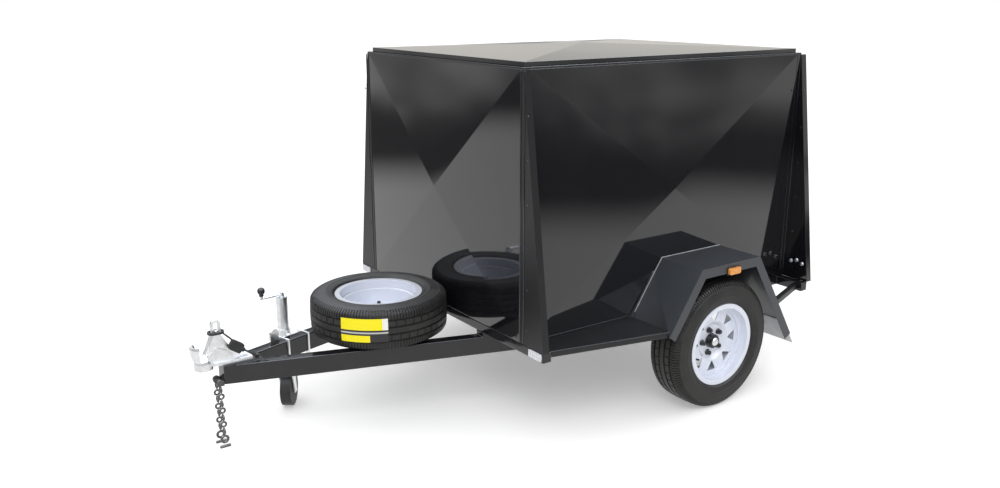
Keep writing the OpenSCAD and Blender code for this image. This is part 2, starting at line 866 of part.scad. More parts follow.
module lead() color(rubber) {
    aim = [cos(plug_turn), sin(plug_turn)];
    from = plug_mid + (plug_l / 2 + boot_l + seat) * aim;
    to = from + lead_l * aim;
    y = plug_y + plug_t / 2;
    round_bar([at(-ball_reach + from[0]), y, ball_z + from[1]], [at(-ball_reach + to[0]), y, ball_z + to[1]], lead_d);
    translate([at(-ball_reach + to[0]), y, coupling_z + seat]) cylinder(d = gland_d, h = gland_h);
}

// Jockey wheel on the right rail. Its frame: x along the rail, -y out from the rail
jockey_z = draw_z + drawbar_h / 2;
jockey_travel = 125;
leg_gap = 24;
leg_low = jockey_wheel_d + leg_gap;
tube_gap = 5;
tube_low = leg_low + jockey_travel + tube_gap;
tube_rise = 135;
tube_top = draw_top + tube_rise;
tube_cap_t = 8;
jockey_bore = jockey_leg_d + 2 * seat;

module on_jockey() {
    rail_y = (apex_reach - jockey_reach) * tan(drawbar_angle) + drawbar_w / 2 / cos(drawbar_angle);
    translate([at(-jockey_reach), -rail_y, 0]) rotate([0, 0, drawbar_angle]) children();
}

module on_jockey_axis() on_jockey() translate([0, -jockey_out, 0]) children();
module on_caster() on_jockey_axis() rotate([0, 0, caster_turn]) children();

pivot_d = 30;
bracket_t = 10;
bracket_from = -39;
bracket_l = 189;
bracket_edge = 2;
ear_r = 22;
ear_back = 24;
ear_rise = 25;
clamp_pitch = 104;
clamp_mid = 49;
strap_t = 8;
strap_lap = 3;
sleeve_t = 6;
sleeve_h = 60;

module jockey_bracket() color(zinc) on_jockey() {
    ear_x = bracket_from + bracket_l - ear_back;
    reach = drawbar_w + bracket_t + strap_t + seat;
    // Plate on the rail's outer side, with a rounded ear
    rotate([90, 0, 0]) linear_extrude(bracket_t) {
        translate([bracket_from, draw_z + bracket_edge]) square([bracket_l, drawbar_h - 2 * bracket_edge]);
        translate([ear_x - ear_r, draw_z + bracket_edge]) square([2 * ear_r, drawbar_h - bracket_edge + ear_rise]);
        translate([ear_x, draw_top + ear_rise]) circle(r = ear_r);
    }
    translate([0, 0, jockey_z]) rotate([90, 0, 0])
        cylinder(d = pivot_d, h = jockey_out - jockey_tube_d / 2 - sleeve_t - seat);
    // Clamps round the rail
    for (x = [-1, 1]) translate([clamp_mid + x * clamp_pitch / 2 - strap_t / 2, 0, 0]) {
        for (z = [draw_top + seat, draw_z - strap_t - seat]) translate([0, -bracket_t, z]) cube([strap_t, reach, strap_t]);
        translate([0, drawbar_w + seat, draw_z - strap_t - seat])
            cube([strap_t, strap_t, drawbar_h + 2 * strap_t + 2 * seat]);
        for (z = [draw_top - strap_lap, draw_z - strap_t - seat])
            translate([0, -bracket_t, z]) cube([strap_t, bracket_t, strap_t + seat + strap_lap]);
    }
}

module jockey_tube() color(zinc) on_jockey_axis()
    difference() {
        union() {
            translate([0, 0, tube_low]) cylinder(d = jockey_tube_d, h = tube_top - tube_low);
            translate([0, 0, jockey_z - sleeve_h / 2]) cylinder(d = jockey_tube_d + 2 * sleeve_t, h = sleeve_h);
        }
        translate([0, 0, tube_low - tube_cap_t])
            cylinder(d = jockey_bore, h = tube_top - tube_low);
    }

crank_l = 90;
crank_d = 12;
crank_turn = -12;
crank_hub_d = 22;
crank_hub_h = 18;
// Section of the knob above the arm, as radius and height
knob_line = [[0, 0], [crank_d / 2, 0], [crank_d / 2, 10], [9, 11], [9, 20], [15, 28], [15, 38], [10, 46], [0, 48]];

module jockey_crank() color(zinc) on_jockey_axis() {
    translate([0, 0, tube_top]) cylinder(d = crank_hub_d, h = crank_hub_h);
    rotate([0, 0, crank_turn]) translate([0, 0, tube_top + crank_hub_h / 2]) {
        rotate([0, 90, 0]) cylinder(d = crank_d, h = crank_l + crank_d / 2);
        translate([crank_l, 0, 0]) rotate_extrude() polygon(knob_line);
    }
}

leg_in = jockey_travel + 65;

module jockey_leg() color(zinc) on_jockey_axis()
    translate([0, 0, leg_low]) cylinder(d = jockey_leg_d, h = leg_in);

fork_t = 5;
fork_l = 48;
fork_gap = 4;
fork_foot = 18;
fork_low = 16;
fork_head_d = jockey_leg_d + 10;
fork_head_t = 8;
fork_plate_t = 6;
caster_pin_d = 14;

module jockey_fork() color(zinc) on_caster() {
    top = leg_low - fork_head_t - seat;
    half = jockey_wheel_w / 2 + fork_gap;
    translate([0, 0, top]) cylinder(d = fork_head_d, h = fork_head_t);
    for (m = [-1, 1])
        translate([0, m * (half + fork_t / 2), 0]) rotate([90, 0, 0]) linear_extrude(fork_t, center = true)
            polygon([[-fork_l / 2, top], [fork_l / 2, top], [fork_foot - jockey_trail, jockey_wheel_d / 2 - fork_low],
                [-fork_foot - jockey_trail, jockey_wheel_d / 2 - fork_low]]);
    translate([-fork_l / 2, -half - fork_t, top - fork_plate_t]) cube([fork_l, 2 * (half + fork_t), fork_plate_t]);
    translate([-jockey_trail, half + fork_t, jockey_wheel_d / 2]) rotate([90, 0, 0])
        cylinder(d = caster_pin_d, h = 2 * (half + fork_t));
}

module jockey_wheel() color(rubber) on_caster()
    translate([-jockey_trail, 0, jockey_wheel_d / 2]) rotate([90, 0, 0])
        difference() {
            cylinder(d = jockey_wheel_d, h = jockey_wheel_w, center = true);
            cylinder(d = caster_pin_d + 2 * seat, h = 2 * jockey_wheel_w, center = true);
        }

// Doors: two creased leaves with lift-off hinges
hinge_in = 11;
hinge_y = panel_y - hinge_in;
door_side_gap = 2;
door_edge_y = hinge_y - door_side_gap;
door_end_gap = 8;
door_low = deck_z + door_end_gap;
door_h = box_h - 2 * door_end_gap;
hinge_h = 60;
hinge_zs = [for (k = [0.12, 0.5, 0.88]) deck_z + k * box_h - hinge_h / 2];
hinge_strap_l = 110;
hinge_strap_t = 8;
pin_s = box_l + door_t + pin_off;

module left_door() color(paint)
    difference() {
        union() {
            translate([at(box_l + door_t), (door_edge_y + door_gap / 2) / 2, door_low]) rotate([0, 0, 90])
                creased_panel(door_edge_y - door_gap / 2, door_h, door_t, door_crease_h);
            for (z = hinge_zs) {
                translate([at(pin_s), hinge_y, z + hinge_h / 2 + seat]) cylinder(r = barrel_r, h = hinge_h / 2 - seat);
                block(box_l + door_t - 1, box_l + door_t + hinge_strap_t, hinge_y - hinge_strap_l, hinge_y,
                    z + hinge_h / 2 + seat, z + hinge_h);
            }
        }
        for (z = hinge_zs) translate([at(pin_s), hinge_y, z]) {
            cylinder(d = pin_d + 2 * seat, h = 2 * hinge_h);
            translate([0, 0, -seat]) cylinder(r = barrel_r + seat, h = hinge_h / 2 + 2 * seat);
        }
    }

module right_door() mirror([0, 1, 0]) left_door();

module door_hinges() color(zinc)
    both_sides() for (z = hinge_zs) {
        translate([at(pin_s), hinge_y, z]) {
            cylinder(r = barrel_r, h = hinge_h / 2);
            cylinder(d = pin_d, h = hinge_h);
        }
        block(box_l, pin_s, hinge_y + door_side_gap, hinge_y + barrel_r, z, z + hinge_h / 2);
    }

// Latch: a plate on the left door with a raised paddle handle
latch_w = 100;
latch_t = 13;
latch_plate_t = 7;
latch_in = 30;
paddle_w = 72;
paddle_h = 28;

module door_latch() color(zinc)
    difference() {
        translate([0, latch_in + latch_w / 2, deck_z + box_h / 2]) {
            cross_profile(box_l + door_t, box_l + door_t + latch_plate_t)
                rounded_rect(latch_w, latch_w, latch_w / 10);
            cross_profile(box_l + door_t, box_l + door_t + latch_t)
                rounded_rect(paddle_w, paddle_h, paddle_h / 4);
        }
        left_door();
    }

base_frame();
drawbar();
floor_sheet();  // floor
front_panel();
left_panel();
right_panel();
rear_frame();
roof_frame();
roof_sheet();
front_left_wing();
front_right_wing();
rear_left_wing();
rear_right_wing();
left_guard();
right_guard();
left_stays();
right_stays();
mud_flaps();
marker_lamps();
tail_lamps();
reflectors();
plate_holder();
axle();
springs();
hangers();
left_rim();
left_tyre();
left_hub();
right_rim();
right_tyre();
right_hub();
spare_rim();
spare_tyre();
spare_carrier();
coupling();
coupling_lever();
left_chain();
right_chain();
plug();
lead();
jockey_bracket();
jockey_tube();
jockey_crank();
jockey_leg();
jockey_fork();
jockey_wheel();
left_door();
right_door();
door_hinges();
door_latch();
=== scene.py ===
"""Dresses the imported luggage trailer: finishes, road tread, fasteners, chains and a studio.

Metres throughout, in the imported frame: X forward to the coupling, Y to the trailer's left and
Z up from the ground. Angles in the fields are in degrees unless their name says otherwise.
"""

from __future__ import annotations

import json
import logging
import math
from dataclasses import dataclass
from enum import Enum
from typing import Any, Iterable, Sequence

import bpy
from mathutils import Matrix, Vector

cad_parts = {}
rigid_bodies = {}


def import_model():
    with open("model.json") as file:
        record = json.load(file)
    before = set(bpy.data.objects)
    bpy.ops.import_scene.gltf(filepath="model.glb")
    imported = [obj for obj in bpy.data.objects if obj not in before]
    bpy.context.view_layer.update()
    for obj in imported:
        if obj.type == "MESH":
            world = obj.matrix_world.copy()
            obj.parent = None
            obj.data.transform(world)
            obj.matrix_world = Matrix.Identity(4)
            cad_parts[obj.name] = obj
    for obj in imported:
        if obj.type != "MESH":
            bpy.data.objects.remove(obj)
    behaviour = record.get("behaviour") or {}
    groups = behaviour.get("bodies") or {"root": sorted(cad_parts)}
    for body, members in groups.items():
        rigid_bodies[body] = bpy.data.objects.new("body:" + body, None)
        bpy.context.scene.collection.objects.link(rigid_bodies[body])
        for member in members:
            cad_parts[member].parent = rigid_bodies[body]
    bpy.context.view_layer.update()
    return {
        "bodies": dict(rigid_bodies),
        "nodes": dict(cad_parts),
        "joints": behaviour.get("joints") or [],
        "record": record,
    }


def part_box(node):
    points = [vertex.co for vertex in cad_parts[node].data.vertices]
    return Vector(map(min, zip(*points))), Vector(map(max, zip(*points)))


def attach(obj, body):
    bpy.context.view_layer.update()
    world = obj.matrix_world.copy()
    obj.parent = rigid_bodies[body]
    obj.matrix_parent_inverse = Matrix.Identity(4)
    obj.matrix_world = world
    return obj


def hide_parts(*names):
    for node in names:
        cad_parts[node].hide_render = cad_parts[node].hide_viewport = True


LOG = logging.getLogger("luggage_trailer")
MERGE = 1e-5
TINY = 1e-6
QUARTER = math.pi / 2
SHARP_ANGLE = 35.0
EDGE_STEPS = 2
WHITE = (1.0, 1.0, 1.0, 1.0)

Point = tuple[float, float, float]
Colour = tuple[float, float, float]
Span = tuple[float, float]
Box = tuple[Vector, Vector]
Inputs = dict[int | str, Any]


def shift(place: Point, step: Point) -> Point:
    """A point moved by a step."""
    return tuple(a + b for a, b in zip(place, step))


def darker(colour: Colour, share: float) -> Colour:
    """A colour at a share of its brightness."""
    return tuple(share * c for c in colour)


class Slot(Enum):
    """The record's material slots."""

    BODY = "body_black"
    FRAME = "frame_black"
    FLAP = "flap_grey"
    AMBER = "amber_lens"
    RED = "red_lens"
    CLEAR = "white_lens"
    WHEEL = "wheel_white"
    TYRE = "tyre_black"
    HUB = "hub_black"
    ZINC = "zinc_plate"
    CHAIN = "chain_steel"
    PLUG = "plug_black"
    ROLLER = "jockey_rubber"


class Edge(Enum):
    """How a carried-over solid's edges are shown."""

    SHEET = "sheet"
    SECTION = "section"
    TURNED = "turned"


class Side(Enum):
    """The two sides of the trailer, as the sign of Y."""

    LEFT = 1
    RIGHT = -1


class Wire:
    """A shader socket whose arithmetic adds Math nodes."""

    def __init__(self, graph: Graph, socket: bpy.types.NodeSocket) -> None:
        """Keeps the socket and the graph that it belongs to."""
        self.graph = graph
        self.socket = socket

    def _math(self, operation: str, first: Wire | float, second: Wire | float) -> Wire:
        """Adds one Math node.

        Args:
            operation: The Math node's operation.
            first: The first value.
            second: The second value.

        Returns:
            The node's result.
        """
        return self.graph.add("ShaderNodeMath", {"operation": operation}, {0: first, 1: second})

    def __add__(self, other: Wire | float) -> Wire:
        """Sum."""
        return self._math("ADD", self, other)

    __radd__ = __add__

    def __sub__(self, other: Wire | float) -> Wire:
        """Difference."""
        return self._math("SUBTRACT", self, other)

    def __rsub__(self, other: float) -> Wire:
        """Difference from a number."""
        return self._math("SUBTRACT", other, self)

    def __mul__(self, other: Wire | float) -> Wire:
        """Product."""
        return self._math("MULTIPLY", self, other)

    __rmul__ = __mul__

    def __truediv__(self, other: Wire | float) -> Wire:
        """Quotient."""
        return self._math("DIVIDE", self, other)

    def __pow__(self, other: float) -> Wire:
        """Power."""
        return self._math("POWER", self, other)

    def peak(self, other: Wire | float) -> Wire:
        """The greater of the two."""
        return self._math("MAXIMUM", self, other)


class Graph:
    """A node tree that one method fills."""

    def __init__(self, tree: bpy.types.NodeTree) -> None:
        """Empties the tree."""
        self.tree = tree
        self.tree.nodes.clear()

    @classmethod
    def of_material(cls, name: str) -> tuple[Graph, bpy.types.Material]:
        """A new material and the graph of its nodes."""
        material = bpy.data.materials.new(name)
        material.use_nodes = True
        return cls(material.node_tree), material

    def add(self, kind: str, settings: dict[str, Any] | None = None,
            inputs: Inputs | None = None, output: int | str = 0) -> Wire:
        """Adds a node, sets it up and links it.

        Args:
            kind: The node's type.
            settings: The node's own settings.
            inputs: Values or wires by socket.
            output: The socket that is returned.

        Returns:
            The chosen output.
        """
        node = self.tree.nodes.new(kind)
        for key, value in (settings or {}).items():
            setattr(node, key, value)
        for key, value in (inputs or {}).items():
            if isinstance(value, Wire):
                self.tree.links.new(value.socket, node.inputs[key])
            else:
                node.inputs[key].default_value = value
        return Wire(self, node.outputs[output])

    def place(self) -> Wire:
        """The point on the piece, in the trailer's own frame."""
        return self.add("ShaderNodeTexCoord", output="Object")

    def axes(self, vector: Wire) -> tuple[Wire, Wire, Wire]:
        """The three parts of a vector."""
        node = self.add("ShaderNodeSeparateXYZ", inputs={0: vector}).socket.node
        return tuple(Wire(self, node.outputs[i]) for i in range(3))

    def noise(self, vector: Wire, scale: float, detail: float = 3.0, rough: float = 0.5) -> Wire:
        """Smooth noise from 0 to 1.

        Args:
            vector: Where it is read.
            scale: Features per metre.
            detail: Octaves.
            rough: How strong the finer octaves are.

        Returns:
            The noise value.
        """
        return self.add("ShaderNodeTexNoise", inputs={
            "Vector": vector, "Scale": scale, "Detail": detail, "Roughness": rough})

    def cells(self, vector: Wire, scale: float, feature: str = "F1",
              output: str = "Distance") -> Wire:
        """Cell pattern.

        Args:
            vector: Where it is read.
            scale: Cells per metre.
            feature: The cell feature.
            output: The socket that is returned.

        Returns:
            The cell value or colour.
        """
        return self.add("ShaderNodeTexVoronoi", {"feature": feature}, {
            "Vector": vector, "Scale": scale}, output)

    def remap(self, value: Wire, low: float, high: float,
              to_low: float = 0.0, to_high: float = 1.0) -> Wire:
        """Moves a range to another one, clamped and eased.

        Args:
            value: The value.
            low: Start of the range.
            high: End of the range.
            to_low: Result at the start.
            to_high: Result at the end.

        Returns:
            The moved value.
        """
        return self.add("ShaderNodeMapRange", {"interpolation_type": "SMOOTHSTEP", "clamp": True}, {
            "Value": value, "From Min": low, "From Max": high,
            "To Min": to_low, "To Max": to_high})

    def blend(self, factor: Wire, first: Colour | Wire, second: Colour | Wire) -> Wire:
        """Mixes two colours.

        Args:
            factor: Share of the second colour.
            first: The first colour.
            second: The second colour.

        Returns:
            The mixed colour.
        """
        ends = [c if isinstance(c, Wire) else (*c, 1.0) for c in (first, second)]
        return self.add("ShaderNodeMix", {"data_type": "RGBA"},
                        {0: factor, 6: ends[0], 7: ends[1]}, 2)

    def bump(self, height: Wire, depth: float, strength: float = 1.0,
             under: Wire | None = None) -> Wire:
        """A normal from a height.

        Args:
            height: The height, 0 to 1.
            depth: The height's real depth in metres.
            strength: Share of the effect.
            under: A normal that it is laid on.

        Returns:
            The normal.
        """
        inputs: Inputs = {"Height": height, "Distance": depth, "Strength": strength}
        if under is not None:
            inputs["Normal"] = under
        return self.add("ShaderNodeBump", inputs=inputs)

    def by_ray(self, kind: str, other: Wire, shown: Wire) -> Wire:
        """One shader for a kind of ray and another for the rest.

        Args:
            kind: The Light Path output that chooses.
            other: The shader for all other rays.
            shown: The shader for this kind.

        Returns:
            The mixed shader.
        """
        chosen = self.add("ShaderNodeLightPath", output=kind)
        return self.add("ShaderNodeMixShader", inputs={0: chosen, 1: other, 2: shown})

    def surface(self, inputs: Inputs) -> None:
        """Ends a material in one principled shader."""
        self.close(self.add("ShaderNodeBsdfPrincipled", inputs=inputs))

    def close(self, shader: Wire, kind: str = "ShaderNodeOutputMaterial") -> None:
        """Links a shader to the tree's output."""
        node = self.tree.nodes.new(kind)
        self.tree.links.new(shader.socket, node.inputs["Surface"])


@dataclass(frozen=True)
class Enamel:
    """Baked enamel: gloss over colour, with orange peel, slack sheet, soft folds and road dust."""

    colour: Colour
    gloss: float
    coat: float
    slack: float = 0.0004
    fold: float = 0.0025
    fold_samples: int = 8
    dust: float = 0.05
    dust_colour: Colour = (0.30, 0.28, 0.25)
    dust_levels: Span = (0.15, 0.75)
    dust_above: float = 0.2
    dust_patch: Span = (0.42, 0.75)
    dust_rough: float = 0.35
    speck: Span = (0.35, 0.7)
    wiped: Span = (0.35, 0.7)
    wiped_rough: float = 0.02
    peel_depth: float = 0.00005
    peel_share: float = 0.35
    coat_rough: float = 0.03
    index: float = 1.5

    def build(self, name: str) -> bpy.types.Material:
        """Makes the material."""
        graph, material = Graph.of_material(name)
        place = graph.place()
        height = graph.axes(place)[2]
        film = graph.noise(place, scale=9.0, detail=5.0, rough=0.62)
        fine = graph.noise(place, scale=260.0, detail=2.0)
        cloth = graph.noise(place, scale=2.3, detail=4.0, rough=0.55)
        low = graph.remap(height, *self.dust_levels, 1.0, self.dust_above)
        dusty = graph.remap(film, *self.dust_patch) * low * self.dust
        wiped = graph.remap(cloth, *self.wiped, 0.0, self.wiped_rough)
        colour = graph.blend(
            dusty * graph.remap(fine, *self.speck), self.colour, self.dust_colour)
        folds = graph.add(
            "ShaderNodeBevel", {"samples": self.fold_samples}, {"Radius": self.fold})
        peel = graph.bump(graph.noise(place, scale=420.0, detail=1.0),
                          self.peel_depth, self.peel_share, folds)
        sheet = graph.bump(graph.noise(place, scale=2.6, detail=1.0), self.slack, under=peel)
        graph.surface({
            "Base Color": colour, "Roughness": dusty * self.dust_rough + wiped + self.gloss,
            "Normal": sheet, "Coat Weight": self.coat, "Coat Roughness": self.coat_rough,
            "IOR": self.index})
        return material


@dataclass(frozen=True)
class Rubber:
    """Moulded rubber with a fine grain and a bloom of dust."""

    colour: Colour
    rough: float
    shine: float = 0.45
    grain: float = 0.0002
    grain_share: float = 0.5
    bloom: float = 0.06
    bloom_colour: Colour = (0.21, 0.20, 0.185)
    bloom_patch: Span = (0.4, 0.72)
    bloom_rough: float = 0.12

    def build(self, name: str) -> bpy.types.Material:
        """Makes the material."""
        graph, material = Graph.of_material(name)
        place = graph.place()
        film = graph.noise(place, scale=14.0, detail=5.0, rough=0.6)
        fine = graph.noise(place, scale=900.0, detail=2.0)
        patchy = graph.remap(film, *self.bloom_patch)
        graph.surface({
            "Base Color": graph.blend(patchy * self.bloom, self.colour, self.bloom_colour),
            "Roughness": patchy * self.bloom_rough + self.rough,
            "Normal": graph.bump(fine, self.grain, self.grain_share),
            "Specular IOR Level": self.shine})
        return material


@dataclass(frozen=True)
class Plating:
    """Zinc on steel or on a casting, with crystals, dull patches and grain."""

    colour: Colour
    rough: float
    tarnish: Colour
    crystal: float = 70.0
    crystal_share: float = 0.4
    crystal_dark: float = 0.72
    crystal_rough: float = 0.08
    patch: Span = (0.45, 0.75)
    patch_share: float = 0.5
    patch_metal: float = 0.35
    patch_rough: float = 0.22
    grain: float = 0.0001
    grain_share: float = 0.6

    def build(self, name: str) -> bpy.types.Material:
        """Makes the material."""
        graph, material = Graph.of_material(name)
        place = graph.place()
        crystals = graph.axes(graph.cells(place, self.crystal, output="Color"))[0]
        film = graph.noise(place, scale=22.0, detail=5.0, rough=0.65)
        fine = graph.noise(place, scale=700.0)
        patch = graph.remap(film, *self.patch)
        bright = graph.blend(
            crystals * self.crystal_share, self.colour, darker(self.colour, self.crystal_dark))
        graph.surface({
            "Base Color": graph.blend(patch * self.patch_share, bright, self.tarnish),
            "Metallic": 1.0 - patch * self.patch_metal,
            "Roughness": patch * self.patch_rough + crystals * self.crystal_rough + self.rough,
            "Normal": graph.bump(fine, self.grain, self.grain_share)})
        return material


@dataclass(frozen=True)
class Lens:
    """A moulded lens with rows of prisms behind a clear face."""

    colour: Colour
    deep: Colour
    prisms: float = 190.0
    prism_edge: Span = (0.1, 0.6)
    prism_depth: float = 0.0006
    prism_share: float = 0.35
    rough: float = 0.1
    haze: float = 0.08
    coat: float = 0.8
    coat_rough: float = 0.04

    def build(self, name: str) -> bpy.types.Material:
        """Makes the material."""
        graph, material = Graph.of_material(name)
        place = graph.place()
        facet = graph.cells(place, self.prisms)
        graph.surface({
            "Base Color": graph.blend(
                graph.remap(facet, *self.prism_edge), self.colour, self.deep),
            "Roughness": graph.noise(place, scale=30.0) * self.haze + self.rough,
            "Normal": graph.bump(facet, self.prism_depth, self.prism_share),
            "Coat Weight": self.coat, "Coat Roughness": self.coat_rough})
        return material


@dataclass(frozen=True)
class Moulding:
    """Stippled moulded plastic, paler where it is worn."""

    colour: Colour
    rough: float = 0.42
    worn: Span = (0.45, 0.75)
    worn_share: float = 0.3
    worn_gain: float = 2.2
    worn_lift: float = 0.02
    worn_rough: float = 0.15
    stipple: float = 0.00015
    stipple_share: float = 0.5

    def build(self, name: str) -> bpy.types.Material:
        """Makes the material."""
        graph, material = Graph.of_material(name)
        place = graph.place()
        fine = graph.noise(place, scale=1200.0, detail=1.0)
        worn = graph.remap(graph.noise(place, scale=40.0, detail=4.0), *self.worn)
        pale = tuple(min(1.0, self.worn_gain * c + self.worn_lift) for c in self.colour)
        graph.surface({
            "Base Color": graph.blend(worn * self.worn_share, self.colour, pale),
            "Roughness": worn * self.worn_rough + self.rough,
            "Normal": graph.bump(fine, self.stipple, self.stipple_share)})
        return material


@dataclass(frozen=True)
class Wrap:
    """Plain paper band round a new tyre: two yellow fields, a pale bar and a white end strip."""

    centre: Point
    strip_angle: float = 65.0
    lower_angle: float = 55.0
    gap: Span = (-0.015, 0.006)
    bar: Span = (-0.0085, -0.001)
    bar_share: float = 0.6
    soft: float = 0.0008
    colour: Colour = (0.88, 0.76, 0.0)
    white: Colour = (0.78, 0.78, 0.74)
    ink: Colour = (0.02, 0.02, 0.02)
    rough: float = 0.38
    fibre_share: float = 0.3
    fibre_dark: float = 0.85
    fibre_rough: float = 0.15
    creases: float = 24.0
    crease_edge: Span = (0.0, 0.08)
    crease_depth: float = 0.0003
    crease_share: float = 0.5

    def build(self, name: str) -> bpy.types.Material:
        """Makes the material."""
        graph, material = Graph.of_material(name)
        place = graph.place()
        x, y, z = graph.axes(place)
        x, y, level = x - self.centre[0], y - self.centre[1], z - self.centre[2]

        def past(angle: float) -> Wire:
            """One beyond an angle round the tyre."""
            turn = math.radians(angle)
            return graph.remap(y * math.cos(turn) - x * math.sin(turn), 0.0, self.soft)

        def above(height: float) -> Wire:
            """One above a height."""
            return graph.remap(level, height, height + self.soft)

        def below(height: float) -> Wire:
            """One below a height."""
            return graph.remap(level, height - self.soft, height, 1.0, 0.0)

        upper = above(self.gap[1])
        lower = below(self.gap[0]) * (1.0 - past(self.lower_angle))
        bar = above(self.bar[0]) * below(self.bar[1])
        fibre = graph.noise(place, scale=160.0, detail=4.0)
        cells = graph.cells(place, self.creases, "DISTANCE_TO_EDGE")
        crease = graph.remap(cells, *self.crease_edge)
        paper = graph.blend(
            fibre * self.fibre_share, self.colour, darker(self.colour, self.fibre_dark))
        printed = graph.blend(upper.peak(lower), self.ink, paper)
        bare = (past(self.strip_angle) * upper).peak(bar * self.bar_share)
        graph.surface({
            "Base Color": graph.blend(bare, printed, self.white),
            "Roughness": fibre * self.fibre_rough + self.rough,
            "Normal": graph.bump(crease, self.crease_depth, self.crease_share)})
        return material


class Paintshop:
    """Makes each finish once and lays it on pieces."""

    FINISHES = {
        Slot.BODY: Enamel((0.006, 0.006, 0.0075), gloss=0.03, coat=0.5, fold=0.004),
        Slot.FRAME: Enamel(
            (0.009, 0.009, 0.0105), gloss=0.10, coat=0.05, slack=0.0002, fold=0.005),
        Slot.FLAP: Rubber((0.66, 0.67, 0.69), rough=0.5, bloom=0.15),
        Slot.AMBER: Lens((0.92, 0.44, 0.06), (0.72, 0.24, 0.02)),
        Slot.RED: Lens((0.55, 0.012, 0.012), (0.22, 0.004, 0.004)),
        Slot.CLEAR: Lens((0.82, 0.84, 0.86), (0.55, 0.57, 0.60)),
        Slot.WHEEL: Enamel((0.73, 0.765, 0.86), gloss=0.16, coat=0.4, slack=0.0),
        Slot.TYRE: Rubber((0.020, 0.0192, 0.0185), rough=0.5, shine=0.32),
        Slot.HUB: Enamel((0.012, 0.012, 0.013), gloss=0.25, coat=0.2, slack=0.0),
        Slot.ZINC: Plating((0.86, 0.87, 0.88), rough=0.30, tarnish=(0.62, 0.61, 0.58)),
        Slot.CHAIN: Plating((0.15, 0.145, 0.14), rough=0.38, tarnish=(0.07, 0.062, 0.055)),
        Slot.PLUG: Moulding((0.012, 0.012, 0.013)),
        Slot.ROLLER: Rubber((0.02, 0.02, 0.021), rough=0.6, bloom=0.1),
    }
    # Black enamel for the mudguards: less glossy than the body, with its colour lifted and tinted
    # blue as painted sheen of the sky.
    PAINTED_SHEEN_ENAMEL = Enamel((0.034, 0.038, 0.045), gloss=0.36, coat=0.15, slack=0.0)
    DULL = Enamel((0.005, 0.005, 0.006), gloss=0.42, coat=0.0, slack=0.0)
    # Light grey for the bead along each mudguard's inner edge: a painted highlight of the folded
    # edge.
    PAINTED_HIGHLIGHT = Moulding((0.30, 0.31, 0.32))

    def __init__(self, spare: Point) -> None:
        """Builds every finish.

        Args:
            spare: Middle of the spare tyre, which the paper band goes round.
        """
        self.pots = {slot: finish.build(slot.value) for slot, finish in self.FINISHES.items()}
        self.wrap = Wrap(spare).build("paper_band")
        self.painted_sheen_enamel = self.PAINTED_SHEEN_ENAMEL.build("satin_black")
        self.dull = self.DULL.build("dull_black")
        self.painted_highlight = self.PAINTED_HIGHLIGHT.build("grey_sealant")

    @staticmethod
    def coat(obj: bpy.types.Object, material: bpy.types.Material) -> None:
        """Puts one material all over an object."""
        obj.data.materials.clear()
        obj.data.materials.append(material)


